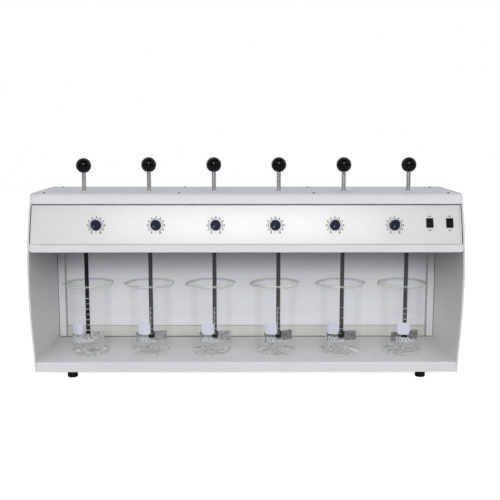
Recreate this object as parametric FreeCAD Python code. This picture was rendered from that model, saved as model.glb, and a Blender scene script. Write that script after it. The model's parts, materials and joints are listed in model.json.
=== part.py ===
import FreeCAD, Part
import math
import os

# Six-place jar tester: a bench-top flocculator with six stirred beakers in a lit bay.
# Millimetres. +X runs along the row of beakers, +Y from the front to the back, +Z up.
# The origin is on the bench, under the middle of the case. The feet stand on z = 0.

Vector = FreeCAD.Vector

X_AXIS = Vector(1, 0, 0)
Y_AXIS = Vector(0, 1, 0)
Z_AXIS = Vector(0, 0, 1)

# ---------------------------------------------------------------- driving dimensions

# Case
CASE_WIDTH = 1000.0
CASE_DEPTH = 296.0
FOOT_HEIGHT = 14.5
NOSE_HEIGHT = 225.0  # the most forward point of the side panel, above the base's underside
UPPER_RADIUS = 405.0  # curve of the front above the nose
LOWER_RADIUS = 560.0  # curve of the front below the nose
STRAIGHT_HEIGHT = 95.0  # below this height the front edge is straight
CORNER_RADIUS = 14.0  # roll between the front and the top
SIDE_THICKNESS = 4.5
SIDE_EDGE_FILLET = 0.8
SHEET = 1.2  # folded sheet steel of the covers
PANEL_SHEET = 1.6  # heavier sheet of the control panel and the base tray
OUTER_BEND = 0.9  # outside radius of a fold, as a share of its sheet
PUNCH_REACH = 5.0  # how far a tool that cuts a hole in sheet runs past it on each side

# Bands of the front. The first two are heights above the base's underside, and the
# bands of the head are stacked on its underside.
SHELF_HEIGHT = 24.7
HEAD_UNDERSIDE = 291.0
LIP_HEIGHT = 17.5
LIP_GAP = 0.4  # between the lip and the control panel
PANEL_HEIGHT = 87.35
COVER_GAP = 3.0  # groove between the control panel and the top cover
COVER_BAND = 23.75
COVER_INSET = 0.8  # how far the covers lie inside the side panels' edge
PANEL_INSET = 1.4
LIP_INSET = 1.2
BASE_INSET = 2.5
PANEL_END_GAP = 2.2
RETURN_DEPTH = 12.0  # folded edges of the sheet parts
SHADE_DEPTH = 16.0  # of the panel's upper return, which is turned up behind the groove
SHADE_HEIGHT = 9.0
LIP_CORNER_RADIUS = 7.0

# Stations
STATION_COUNT = 6
STATION_FROM_END = 111.25  # first and last shaft, from the ends of the case
SHAFT_FROM_NOSE = 125.75

# Stirrers
SHAFT_DIAMETER = 10.0
SHAFT_END_HEIGHT = 64.2  # lower end of the shaft, above the base's underside
BALL_DIAMETER = 36.0
BALL_CENTRE_RISE = 63.0  # from the side panels' top edge to the middle of the ball
STIRRER_SETTINGS = (-2.0, 0.0, 0.0, 0.0, 0.0, 0.0)  # height that each stirrer is left at
BALL_SOCKET_DEPTH = 16.0
BALL_FLAT_DIAMETER = 14.0
PADDLE_WIDTH = 76.0
PADDLE_HEIGHT = 24.0
PADDLE_SHEET = 1.5
PADDLE_DROP = 9.5  # how far the blade reaches below the end of the shaft
PADDLE_CORNER_RADIUS = 1.5
HUB_DIAMETER = 15.0
HUB_HEIGHT = 13.0
HUB_FLOOR = 1.5
PADDLE_ANGLES = (18.0, 16.0, 13.0, 25.0, 14.0, 22.0)
RUNNING_CLEARANCE = 0.05  # radial, between a turning part and its bore

# Drive
STATOR_SLOT_COUNT = 12
STATOR_SLOT_WIDTH = 3.0
STATOR_SLOT_DEPTH = 8.0
MOTOR_PLUG_SIZE = (22.0, 9.0, 14.0)
BEARING_SHOULDER = 24.0  # bore of the end plate behind the bearing
SPINDLE_DIAMETER = 15.0
SPINDLE_NOSE = 4.0  # stands out under the head tray
SPINDLE_HOLE_CLEARANCE = 1.5
BEARING_DIAMETER = 28.0
BEARING_WIDTH = 7.0
MOTOR_DIAMETER = 78.0
MOTOR_HEIGHT = 64.0
MOTOR_WALL = 3.0
MOTOR_END_PLATE = 10.0
ROTOR_DIAMETER = 45.0
ROTOR_HEIGHT = 31.0
AIR_GAP = 0.5
GRIP_COLLAR_DIAMETER = 24.0
GRIP_COLLAR_HEIGHT = 10.0
COLLAR_GAP = 0.3
BUSH_FLANGE_DIAMETER = 19.0
BUSH_FLANGE_HEIGHT = 2.0
BUSH_EDGE_RADIUS = 0.5
BUSH_DIAMETER = 14.0
BUSH_LENGTH = 10.0

# Control panel
POT_TAG_SIZE = (2.0, 6.0, 0.8)
POT_TAG_PITCH = 5.0
SWITCH_TAG_SIZE = (6.3, 0.8, 8.0)
SWITCH_TAG_PITCH = 6.0
ROCKER_PIN_DIAMETER = 2.0
ROCKER_PIN_LENGTH = 0.6  # beyond the rocker's clearance, into the housing's wall
KNOB_RISE = 42.8  # above the panel's lower edge
KNOB_FROM_LEFT = 156.25  # first knob, from the left end of the case
KNOB_FROM_RIGHT = 160.25  # last knob, from the right end
KNOB_DIAMETER = 24.5
KNOB_TOP_DIAMETER = 20.5
KNOB_LENGTH = 15.0
KNOB_SKIRT = 3.0
KNOB_GAP = 0.5
KNOB_EDGE_RADIUS = 1.2
KNOB_CAVITY_DIAMETER = 17.0
KNOB_CAVITY_DEPTH = 4.0
KNOB_FLUTE_COUNT = 18
KNOB_FLUTE_RADIUS = 1.1
KNOB_POINTER_WIDTH = 1.6
KNOB_POINTER_DEPTH = 0.8
KNOB_POINTER_START = 4.0  # inner end of the pointer groove, from the knob's axis
KNOB_REST_ANGLE = 240.0  # where the pointer stands at zero, counted from +X round the axis
POT_SHAFT_DIAMETER = 6.0
POT_BODY_DIAMETER = 24.0
POT_BODY_LENGTH = 11.0
POT_BUSH_DIAMETER = 9.5
POT_BUSH_LENGTH = 3.4
POT_NUT_SIDES = 6
POT_NUT_FLATS = 12.0
POT_NUT_HEIGHT = 2.0
POT_SHAFT_INSERT = 8.0  # length of the shaft inside the knob's bore
POT_SHAFT_BEHIND = 9.0
SWITCH_NAMES = ("lamp_rocker", "mains_rocker")
SWITCH_FROM_RIGHT = 33.8  # last switch, from the right end of the case
SWITCH_PITCH = 45.7
SWITCH_RISE = 47.8  # above the panel's lower edge
BEZEL_WIDTH = 16.6
BEZEL_HEIGHT = 22.6
BEZEL_THICKNESS = 2.0
BEZEL_FILLET = 0.8
SWITCH_BODY_WIDTH = 13.0
SWITCH_BODY_HEIGHT = 19.2
SWITCH_BODY_DEPTH = 20.0
SWITCH_WALL = 1.0
ROCKER_CLEARANCE = 0.3
ROCKER_PIVOT_DEPTH = 2.0  # pivot axis behind the face of the bezel
ROCKER_TILT = 8.0
ROCKER_STAND = 0.6  # how far the pressed end stands in front of the bezel

# Fasteners
SCREW_COLUMN_COUNT = 4
SCREW_FROM_END = 29.0
SCREW_FROM_BACK = 29.0
SCREW_BEHIND_CORNER = 5.0
SCREW_HEAD_DIAMETER = 7.5
SCREW_HEAD_HEIGHT = 2.2
SCREW_DIAMETER = 4.0
SCREW_LENGTH = 9.0
RAIL_WIDTH = 22.0
RAIL_SHEET = 2.0

# Stirring bay
LAMP_GLASS_STEP = 0.2  # how far the glass lies inside its end caps
DIFFUSER_THICKNESS = 3.0
STRIP_WIDTH = 15.7
STRIP_GAP = 2.8
STRIP_OVERLAP = 8.0
RAIL_BAND_TOP = 54.5
RAIL_STEP_TOP = 85.7
RAIL_PROUD = 2.0
DIFFUSER_RISE = 40.0  # how far the diffuser reaches up into the head
LAMP_DIAMETER = 16.0
LAMP_FROM_END = 60.0
LAMP_CAP_LENGTH = 14.0
LAMP_GAP = 4.0  # between the lamp and the diffuser
HOLDER_THICKNESS = 12.0
HOLDER_WIDTH = 24.0
HOLDER_SEAT_DEPTH = 5.0

# Back and inside of the head
BACK_EDGE_SETBACK = 1.0  # the side panels stand this far behind the rear cover and top flange
COVER_BACK_FLANGE = 14.0
REAR_TOP_FLANGE = 45.0
VENT_WIDTH = 3.0
VENT_LENGTH = 34.0
VENT_PITCH = 9.0
VENT_COUNT = 12
VENT_RISE = 81.0  # middle of the vents, above the underside of the head
VENT_GROUP_COUNT = 3
VENT_FROM_END = 200.0  # middle of the first and last group, from the ends of the case
INLET_FROM_RIGHT = 60.0
INLET_RISE = 54.0
INLET_WIDTH = 28.0
INLET_TALL = 21.0
INLET_DEPTH = 22.0
INLET_FLANGE_WIDTH = 48.0
INLET_FLANGE_TALL = 26.0
INLET_WALL = 2.0
INLET_SOCKET_DEPTH = 17.0
INLET_PIN_LENGTH = 10.0
INLET_PIN_WIDTH = 2.0
INLET_PIN_TALL = 4.0
INLET_PIN_PITCH = 7.0
INLET_PIN_RISE = 4.0
BOARD_LENGTH = 240.0
BOARD_HEIGHT = 70.0
BOARD_RISE = 42.0
BOARD_THICKNESS = 1.6
BOARD_FROM_RIGHT = 300.0
BOARD_FROM_BACK = 24.0
BOARD_POST_DIAMETER = 6.0
TRANSFORMER_SIZE = (62.0, 34.0, 50.0)
TRANSFORMER_FROM_RIGHT = 165.0
TRANSFORMER_Y = 30.0
HEAT_SINK_SIZE = (70.0, 22.0, 40.0)
HEAT_SINK_FINS = 8
HEAT_SINK_BASE = 4.0

# Feet
FOOT_DIAMETER = 24.0
FOOT_FROM_END = 85.5
FOOT_FROM_FRONT = 55.0
FOOT_FROM_BACK = 40.0
FOOT_EDGE_RADIUS = 2.0
FOOT_FLANGE_WIDTH = 62.0  # folded floor of the base tray that the feet are screwed to

# Beakers, with each one's place on the shelf measured from its shaft
BEAKER_DIAMETER = 106.0
BEAKER_HEIGHT = 175.0
BEAKER_WALL = 2.2
BEAKER_FLOOR = 3.0
BEAKER_BASE_RADIUS = 9.0
BEAKER_RIM_FLARE = 6.0
BEAKER_RIM_HEIGHT = 12.0
SPOUT_REACH = 9.0  # beyond the flared rim
SPOUT_RADIUS = 12.0
SPOUT_TIP_RADIUS = 2.0
SPOUT_DROP = 24.0
SPOUT_OVERRUN = 1.2  # length of the spout's cone, as a share of its way up to the rim
BEAKER_OFFSETS = (4.6, -2.5, -7.8, -6.4, -2.0, -6.7)
BEAKER_SETBACK = 7.0
SPOUT_ANGLES = (182.0, 178.0, 196.0, 194.0, 180.0, 192.0)

TOLERANCE = 0.01  # nearer than this, two places are one

# ---------------------------------------------------------------- derived places

def spread(count, from_left, from_right):
    """Evenly spaced places along the case, the first and last at set distances from its ends."""
    pitch = (CASE_WIDTH - from_left - from_right) / (count - 1)
    return [from_left - CASE_WIDTH / 2 + i * pitch for i in range(count)]


LIP_TOP = HEAD_UNDERSIDE + LIP_HEIGHT
PANEL_BOTTOM = LIP_TOP + LIP_GAP
PANEL_TOP = PANEL_BOTTOM + PANEL_HEIGHT
COVER_BAND_BOTTOM = PANEL_TOP + COVER_GAP
CASE_HEIGHT = COVER_BAND_BOTTOM + COVER_BAND
NOSE_Y = -CASE_DEPTH / 2
BACK_Y = CASE_DEPTH / 2
BASE_Z = FOOT_HEIGHT
TOP_Z = BASE_Z + CASE_HEIGHT
INNER_HALF = CASE_WIDTH / 2 - SIDE_THICKNESS
SHAFT_Y = NOSE_Y + SHAFT_FROM_NOSE
COVER_TOP_Z = TOP_Z - COVER_INSET
SHELF_Z = BASE_Z + SHELF_HEIGHT
TRAY_Z = BASE_Z + HEAD_UNDERSIDE
TRAY_TOP_Z = TRAY_Z + SHEET
REAR_COVER_BACK = BACK_Y - BACK_EDGE_SETBACK - SHEET
REAR_COVER_FRONT = REAR_COVER_BACK - SHEET
DIFFUSER_FRONT = REAR_COVER_FRONT - DIFFUSER_THICKNESS
STATION_X = spread(STATION_COUNT, STATION_FROM_END, STATION_FROM_END)
KNOB_X = spread(STATION_COUNT, KNOB_FROM_LEFT, KNOB_FROM_RIGHT)
KNOB_HEIGHT = PANEL_BOTTOM + KNOB_RISE
SWITCH_HEIGHT = PANEL_BOTTOM + SWITCH_RISE
MAINS_SWITCH_X = CASE_WIDTH / 2 - SWITCH_FROM_RIGHT
SWITCH_POSITIONS = (MAINS_SWITCH_X - SWITCH_PITCH, MAINS_SWITCH_X)
UPPER_CENTRE = (NOSE_Y + UPPER_RADIUS, BASE_Z + NOSE_HEIGHT)
LOWER_CENTRE = (NOSE_Y + LOWER_RADIUS, BASE_Z + NOSE_HEIGHT)
STRAIGHT_ANGLE = math.asin((NOSE_HEIGHT - STRAIGHT_HEIGHT) / LOWER_RADIUS)
ROLL_Z = TOP_Z - CORNER_RADIUS
ROLL_ANGLE = math.asin((ROLL_Z - UPPER_CENTRE[1]) / (UPPER_RADIUS - CORNER_RADIUS))
ROLL_Y = UPPER_CENTRE[0] - (UPPER_RADIUS - CORNER_RADIUS) * math.cos(ROLL_ANGLE)
ROLL_CENTRE = (ROLL_Y, ROLL_Z)
MOTOR_TOP_Z = TRAY_TOP_Z + MOTOR_HEIGHT
COLLAR_Z = MOTOR_TOP_Z + COLLAR_GAP
MOTOR_MID_Z = TRAY_TOP_Z + MOTOR_HEIGHT / 2
SCREW_FRONT_Y = ROLL_Y + SCREW_BEHIND_CORNER
SCREW_BACK_Y = BACK_Y - SCREW_FROM_BACK
SCREW_X = spread(SCREW_COLUMN_COUNT, SCREW_FROM_END, SCREW_FROM_END)
SCREW_POINTS = [Vector(x, y, COVER_TOP_Z) for x in SCREW_X for y in (SCREW_FRONT_Y, SCREW_BACK_Y)]
PIVOT_LOCAL_Z = BEZEL_THICKNESS - ROCKER_PIVOT_DEPTH
LAMP_LENGTH = CASE_WIDTH - 2 * LAMP_FROM_END
VENT_HEIGHT = HEAD_UNDERSIDE + VENT_RISE
VENT_CENTRES = spread(VENT_GROUP_COUNT, VENT_FROM_END, VENT_FROM_END)
INLET_POSITION = CASE_WIDTH / 2 - INLET_FROM_RIGHT
INLET_HEIGHT = HEAD_UNDERSIDE + INLET_RISE
FOOT_POSITION = CASE_WIDTH / 2 - FOOT_FROM_END


# ---------------------------------------------------------------- shape helpers

def box(x0, x1, y0, y1, z0, z1):
    """Box between two corners."""
    return Part.makeBox(x1 - x0, y1 - y0, z1 - z0, Vector(x0, y0, z0))


def rod(diameter, length, base, axis=Z_AXIS):
    """Cylinder that starts at base and runs along axis."""
    return Part.makeCylinder(diameter / 2, length, base, axis)


def tube(outer, inner, length, base, axis=Z_AXIS):
    """Hollow cylinder."""
    return rod(outer, length, base, axis).cut(rod(inner, length, base, axis))


def fuse(shapes):
    """One solid from shapes that touch, with the seams between their faces removed."""
    return shapes[0].fuse(shapes[1:]).removeSplitter()


def cut(shape, tools):
    """Shape with every tool taken out of it."""
    return shape.cut(Part.makeCompound(tools))


def moved(shape, placement):
    """Copy of a shape, carried from its own frame to a placement."""
    return shape.transformed(placement.toMatrix(), True)


def round_edges(shape, radius, wanted):
    """Fillet the edges that wanted picks."""
    return shape.makeFillet(radius, [edge for edge in shape.Edges if wanted(edge)])


def runs_along_x(edge, y, z):
    """True for an edge that runs the length of the case at y and z in the side view."""
    bounds = edge.BoundBox
    level = max(abs(bounds.YMin - y), abs(bounds.YMax - y)) < TOLERANCE
    upright = max(abs(bounds.ZMin - z), abs(bounds.ZMax - z)) < TOLERANCE
    return level and upright and bounds.XLength > INNER_HALF


def save(name, shapes):
    """Write one node, made of one or more solids."""
    shape = shapes[0] if len(shapes) == 1 else Part.makeCompound(shapes)
    shape.exportStep("parts/" + name + ".step")


# ---------------------------------------------------------------- the curved front

def polar(centre, radius, angle):
    """Point of the side view. The angle is measured upwards from straight forward."""
    return Vector(0, centre[0] - radius * math.cos(angle), centre[1] + radius * math.sin(angle))


def case_section(inset, back_y, bottom_z):
    """Side view of the case, drawn in from the side panels' edge by an inset."""
    straight_top = polar(LOWER_CENTRE, LOWER_RADIUS - inset, -STRAIGHT_ANGLE)
    front_y = straight_top.y + (straight_top.z - bottom_z) * math.tan(STRAIGHT_ANGLE)
    front_bottom = Vector(0, front_y, bottom_z)
    lower_middle = polar(LOWER_CENTRE, LOWER_RADIUS - inset, -STRAIGHT_ANGLE / 2)
    nose = polar(UPPER_CENTRE, UPPER_RADIUS - inset, 0)
    upper_middle = polar(UPPER_CENTRE, UPPER_RADIUS - inset, ROLL_ANGLE / 2)
    roll_start = polar(UPPER_CENTRE, UPPER_RADIUS - inset, ROLL_ANGLE)
    roll_middle = polar(ROLL_CENTRE, CORNER_RADIUS - inset, (ROLL_ANGLE + math.pi / 2) / 2)
    roll_end = polar(ROLL_CENTRE, CORNER_RADIUS - inset, math.pi / 2)
    back_top = Vector(0, back_y, roll_end.z)
    back_bottom = Vector(0, back_y, bottom_z)
    edges = [
        Part.makeLine(front_bottom, straight_top),
        Part.Arc(straight_top, lower_middle, nose).toShape(),
        Part.Arc(nose, upper_middle, roll_start).toShape(),
        Part.Arc(roll_start, roll_middle, roll_end).toShape(),
        Part.makeLine(roll_end, back_top),
        Part.makeLine(back_top, back_bottom),
        Part.makeLine(back_bottom, front_bottom),
    ]
    return Part.Face(Part.Wire(edges))


def slab(inset, x0, x1, back_y=BACK_Y, bottom_z=BASE_Z):
    """The case's side view, extruded from x0 to x1."""
    section = case_section(inset, back_y, bottom_z)
    section.translate(Vector(x0, 0, 0))
    return section.extrude(Vector(x1 - x0, 0, 0))


def skin(inset, thickness, x0, x1, z0, z1, back_y=BACK_Y):
    """Sheet that follows the front and the top of the case between two heights."""
    sheet = slab(inset, x0, x1, back_y).cut(slab(inset + thickness, x0, x1, back_y))
    return sheet.common(box(x0, x1, NOSE_Y, back_y, z0, z1))


def shelf(inset, x0, x1, back_y, z0, z1):
    """Level plate whose front edge follows the front of the case."""
    return slab(inset, x0, x1, back_y).common(box(x0, x1, NOSE_Y, back_y, z0, z1))


def front_y(z, inset):
    """Where the front of the case is at a height."""
    if z > LOWER_CENTRE[1]:
        rise = z - UPPER_CENTRE[1]
        return UPPER_CENTRE[0] - math.sqrt((UPPER_RADIUS - inset) ** 2 - rise ** 2)
    if z > BASE_Z + STRAIGHT_HEIGHT:
        rise = z - LOWER_CENTRE[1]
        return LOWER_CENTRE[0] - math.sqrt((LOWER_RADIUS - inset) ** 2 - rise ** 2)
    tangent = polar(LOWER_CENTRE, LOWER_RADIUS - inset, -STRAIGHT_ANGLE)
    return tangent.y + (tangent.z - z) * math.tan(STRAIGHT_ANGLE)


def panel_angle(height):
    """How far the control panel leans back at a height above the base's underside."""
    return math.asin((height - NOSE_HEIGHT) / (UPPER_RADIUS - PANEL_INSET))


def on_panel(x, height):
    """Placement on the control panel's face: +Z points out of it and +Y up along it."""
    lean = panel_angle(height)
    point = polar(UPPER_CENTRE, UPPER_RADIUS - PANEL_INSET, lean)
    turn = FreeCAD.Rotation(X_AXIS, 90 - math.degrees(lean))
    return FreeCAD.Placement(Vector(x, point.y, point.z), turn)


def panel_sag(half_width):
    """How far the inside of the panel falls away from flat over a half width."""
    radius = UPPER_RADIUS - PANEL_INSET - PANEL_SHEET
    return radius - math.sqrt(radius ** 2 - half_width ** 2)


# ---------------------------------------------------------------- case

def side_panel(side):
    """Plate at one end of the case. side is -1 on the left and 1 on the right."""
    inner = side * INNER_HALF
    outer = side * CASE_WIDTH / 2
    plate = slab(0, min(inner, outer), max(inner, outer))

    def outer_front_edge(edge):
        bounds = edge.BoundBox
        outside = max(abs(bounds.XMin - outer), abs(bounds.XMax - outer)) < TOLERANCE
        return outside and bounds.YMin < BACK_Y - TOLERANCE and bounds.ZMax > BASE_Z + TOLERANCE

    return round_edges(plate, SIDE_EDGE_FILLET, outer_front_edge)


def top_cover():
    """Folded sheet over the head, with the rolled band at its front and a flange at its back."""
    half = INNER_HALF
    back = BACK_Y - BACK_EDGE_SETBACK
    sheet = skin(COVER_INSET, SHEET, -half, half, BASE_Z + COVER_BAND_BOTTOM, TOP_Z, back)
    band_z = BASE_Z + COVER_BAND_BOTTOM
    band_return = skin(COVER_INSET, RETURN_DEPTH, -half, half, band_z, band_z + SHEET, back)
    band_return = band_return.common(box(-half, half, NOSE_Y, ROLL_Y, band_z, TOP_Z))
    flange = box(-half, half, back - SHEET, back, COVER_TOP_Z - COVER_BACK_FLANGE, COVER_TOP_Z)
    cover = fuse([sheet, band_return, flange])
    holes = [rod(BUSH_DIAMETER, 2 * SHEET, Vector(x, SHAFT_Y, COVER_TOP_Z - SHEET)) for x in STATION_X]
    for point in SCREW_POINTS:
        holes.append(rod(SCREW_DIAMETER, 2 * SHEET, point - Z_AXIS * SHEET))
    return cut(cover, holes)


def cover_rail():
    """Angle under the front of the top cover, tapped for the front row of cover screws."""
    top = COVER_TOP_Z - SHEET
    level = box(-INNER_HALF, INNER_HALF, ROLL_Y, ROLL_Y + RAIL_WIDTH, top - RAIL_SHEET, top)
    web = box(-INNER_HALF, INNER_HALF, ROLL_Y + RAIL_WIDTH - RAIL_SHEET, ROLL_Y + RAIL_WIDTH,
              top - RAIL_WIDTH, top)
    return cut(fuse([level, web]), screw_shanks())


def control_panel():
    """Curved panel with folded edges and cut-outs for the controls.

    Its upper edge is turned up again behind the groove, so that no light shows through."""
    half = INNER_HALF - PANEL_END_GAP
    bottom = BASE_Z + PANEL_BOTTOM
    top = BASE_Z + PANEL_TOP
    behind = PANEL_INSET + PANEL_SHEET
    depth = RETURN_DEPTH - PANEL_SHEET
    inside_top = top - PANEL_SHEET
    face = skin(PANEL_INSET, PANEL_SHEET, -half, half, bottom, top)
    lower = skin(behind, depth, -INNER_HALF, INNER_HALF, bottom, bottom + PANEL_SHEET)
    ends = [skin(behind, depth, x, x + PANEL_SHEET, bottom, top) for x in (-half, half - PANEL_SHEET)]
    middle_y = front_y(top, PANEL_INSET + PANEL_SHEET / 2)
    shade_y = front_y(top, behind) + SHADE_DEPTH
    upper = box(-INNER_HALF, INNER_HALF, middle_y, shade_y, inside_top, top)
    shade = box(-INNER_HALF, INNER_HALF, shade_y - PANEL_SHEET, shade_y, inside_top, top + SHADE_HEIGHT)
    panel = fuse([face, lower, upper, shade] + ends)
    for z in (bottom, top):
        y = front_y(z, PANEL_INSET)
        panel = round_edges(panel, PANEL_SHEET / 2, lambda edge: runs_along_x(edge, y, z))
    cuts = []
    for x in KNOB_X:
        hole = rod(POT_BUSH_DIAMETER, 2 * PUNCH_REACH, Z_AXIS * -PUNCH_REACH)
        cuts.append(moved(hole, on_panel(x, KNOB_HEIGHT)))
    for x in SWITCH_POSITIONS:
        half_x = SWITCH_BODY_WIDTH / 2
        half_y = SWITCH_BODY_HEIGHT / 2
        hole = box(-half_x, half_x, -half_y, half_y, -PUNCH_REACH, PUNCH_REACH)
        cuts.append(moved(hole, on_panel(x, SWITCH_HEIGHT)))
    return cut(panel, cuts)


def head_tray():
    """Underside of the head with the lip at its front. It carries the six motors."""
    half = INNER_HALF
    back = DIFFUSER_FRONT
    lip_top = BASE_Z + LIP_TOP
    floor = shelf(LIP_INSET, -half, half, back, TRAY_Z, TRAY_TOP_Z)
    lip = skin(LIP_INSET, SHEET, -half, half, TRAY_Z, lip_top)
    lip_return = skin(LIP_INSET, RETURN_DEPTH, -half, half, lip_top - SHEET, lip_top)
    flange_y = front_y(lip_top, LIP_INSET) + RETURN_DEPTH
    pieces = [floor, lip, lip_return]
    for x in (-half, half - SHEET):
        pieces.append(box(x, x + SHEET, flange_y, back, TRAY_Z, TRAY_Z + RETURN_DEPTH))
    tray = fuse(pieces)
    y = front_y(TRAY_Z, LIP_INSET)
    tray = round_edges(tray, OUTER_BEND * SHEET, lambda edge: runs_along_x(edge, y, TRAY_Z))
    hole = SPINDLE_DIAMETER + 2 * SPINDLE_HOLE_CLEARANCE
    tool_bottom = TRAY_Z - PUNCH_REACH
    cuts = [rod(hole, 2 * PUNCH_REACH, Vector(x, SHAFT_Y, tool_bottom)) for x in STATION_X]
    cuts += [lip_corner(side) for side in (-1, 1)]
    return cut(tray, cuts)


def lip_corner(side):
    """What is taken off a lower corner of the lip to round it."""
    radius = LIP_CORNER_RADIUS
    length = front_y(TRAY_Z, LIP_INSET) + RETURN_DEPTH - NOSE_Y
    x = side * INNER_HALF
    x0, x1 = sorted((x, x - side * radius))
    block = box(x0, x1, NOSE_Y, NOSE_Y + length, TRAY_Z, TRAY_Z + radius)
    centre = Vector(x - side * radius, NOSE_Y, TRAY_Z + radius)
    return block.cut(rod(2 * radius, length, centre, Y_AXIS))


def base_tray():
    """Hollow base that the beakers stand on, with a folded floor along its front and back."""
    half = INNER_HALF
    back = REAR_COVER_FRONT
    outer = shelf(BASE_INSET, -half, half, back, BASE_Z, SHELF_Z)
    y = front_y(SHELF_Z, BASE_INSET)
    outer = round_edges(outer, OUTER_BEND * PANEL_SHEET, lambda edge: runs_along_x(edge, y, SHELF_Z))
    inside = shelf(BASE_INSET + PANEL_SHEET, PANEL_SHEET - half, half - PANEL_SHEET,
                   back - PANEL_SHEET, BASE_Z + SHEET, SHELF_Z - PANEL_SHEET)
    mouth_front = front_y(BASE_Z, BASE_INSET) + FOOT_FLANGE_WIDTH
    mouth = box(PANEL_SHEET - half, half - PANEL_SHEET, mouth_front, back - FOOT_FLANGE_WIDTH,
                BASE_Z, BASE_Z + SHEET)
    return cut(outer, [inside, mouth])


def rear_cover():
    """Flat back of the case, with vents, the inlet's cut-out and a flange under the top cover."""
    half = INNER_HALF
    top = COVER_TOP_Z - SHEET
    sheet = box(-half, half, REAR_COVER_FRONT, REAR_COVER_BACK, BASE_Z, top)
    flange = box(-half, half, REAR_COVER_BACK - REAR_TOP_FLANGE, REAR_COVER_BACK, top - SHEET, top)
    cuts = screw_shanks()
    first = -(VENT_COUNT - 1) / 2 * VENT_PITCH - VENT_WIDTH / 2
    for centre in VENT_CENTRES:
        for i in range(VENT_COUNT):
            x = centre + first + i * VENT_PITCH
            z = BASE_Z + VENT_HEIGHT - VENT_LENGTH / 2
            cuts.append(box(x, x + VENT_WIDTH, REAR_COVER_FRONT, REAR_COVER_BACK, z, z + VENT_LENGTH))
    cuts.append(inlet_block(INLET_WIDTH, INLET_TALL, REAR_COVER_FRONT - SHEET, REAR_COVER_BACK))
    return cut(fuse([sheet, flange]), cuts)


# ---------------------------------------------------------------- fasteners and feet

def screw_shanks():
    """Shanks of the cover screws, which are also the holes that they pass through."""
    start = Z_AXIS * SCREW_LENGTH
    return [rod(SCREW_DIAMETER, SCREW_LENGTH, point - start) for point in SCREW_POINTS]


def cover_screws():
    """Eight domed screws that hold the top cover down."""
    half = SCREW_HEAD_DIAMETER / 2
    ball = (half ** 2 + SCREW_HEAD_HEIGHT ** 2) / (2 * SCREW_HEAD_HEIGHT)
    screws = []
    for point, shank in zip(SCREW_POINTS, screw_shanks()):
        dome = Part.makeSphere(ball, point + Z_AXIS * (SCREW_HEAD_HEIGHT - ball))
        above = box(point.x - ball, point.x + ball, point.y - ball, point.y + ball,
                    point.z, point.z + 2 * ball)
        screws.append(fuse([dome.common(above), shank]))
    return screws


def rubber_feet():
    """Four feet under the folded floor of the base tray."""
    feet = []
    for x in (-FOOT_POSITION, FOOT_POSITION):
        for y in (NOSE_Y + FOOT_FROM_FRONT, BACK_Y - FOOT_FROM_BACK):
            foot = rod(FOOT_DIAMETER, FOOT_HEIGHT, Vector(x, y, 0))
            feet.append(round_edges(foot, FOOT_EDGE_RADIUS, lambda edge: edge.BoundBox.ZMax < TOLERANCE))
    return feet


# ---------------------------------------------------------------- stirring bay

def light_diffuser():
    """Opal sheet at the back of the bay. It reaches up into the head beside the lamp."""
    half = INNER_HALF - STRIP_GAP - STRIP_WIDTH + STRIP_OVERLAP
    return box(-half, half, DIFFUSER_FRONT, REAR_COVER_FRONT, SHELF_Z, TRAY_Z + DIFFUSER_RISE)


def diffuser_frame():
    """Strips at the sides of the diffuser, and the stepped rail that it stands behind."""
    outer = INNER_HALF - STRIP_GAP
    face = DIFFUSER_FRONT - SHEET
    pieces = []
    for x in (-outer, outer - STRIP_WIDTH):
        pieces.append(box(x, x + STRIP_WIDTH, face, DIFFUSER_FRONT, SHELF_Z, TRAY_Z))
    step_top = BASE_Z + RAIL_STEP_TOP
    band_top = BASE_Z + RAIL_BAND_TOP
    pieces.append(box(-outer, outer, face, DIFFUSER_FRONT, SHELF_Z, step_top))
    pieces.append(box(-outer, outer, face - RAIL_PROUD, face, SHELF_Z, band_top))
    return fuse(pieces)


def lamp_place():
    """Middle of the lamp's left end."""
    y = DIFFUSER_FRONT - LAMP_GAP - LAMP_DIAMETER / 2
    return Vector(-LAMP_LENGTH / 2, y, TRAY_TOP_Z + HOLDER_WIDTH / 2 + HOLDER_SEAT_DEPTH)


def lamp_tube():
    """Glass tube with a metal cap at each end."""
    left = lamp_place()
    glass_start = left + X_AXIS * LAMP_CAP_LENGTH
    glass_length = LAMP_LENGTH - 2 * LAMP_CAP_LENGTH
    glass = rod(LAMP_DIAMETER - 2 * LAMP_GLASS_STEP, glass_length, glass_start, X_AXIS)
    right_cap = glass_start + X_AXIS * glass_length
    return [glass] + [rod(LAMP_DIAMETER, LAMP_CAP_LENGTH, start, X_AXIS) for start in (left, right_cap)]


def lamp_holders():
    """Two sockets that stand on the head tray and take the ends of the lamp."""
    start = lamp_place()
    seats = rod(LAMP_DIAMETER, LAMP_LENGTH, start, X_AXIS)
    holders = []
    for x0 in (start.x + HOLDER_SEAT_DEPTH - HOLDER_THICKNESS, -start.x - HOLDER_SEAT_DEPTH):
        block = box(x0, x0 + HOLDER_THICKNESS, start.y - HOLDER_WIDTH / 2, DIFFUSER_FRONT,
                    TRAY_TOP_Z, start.z + HOLDER_WIDTH / 2)
        holders.append(block.cut(seats))
    return holders


# ---------------------------------------------------------------- drive

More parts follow.
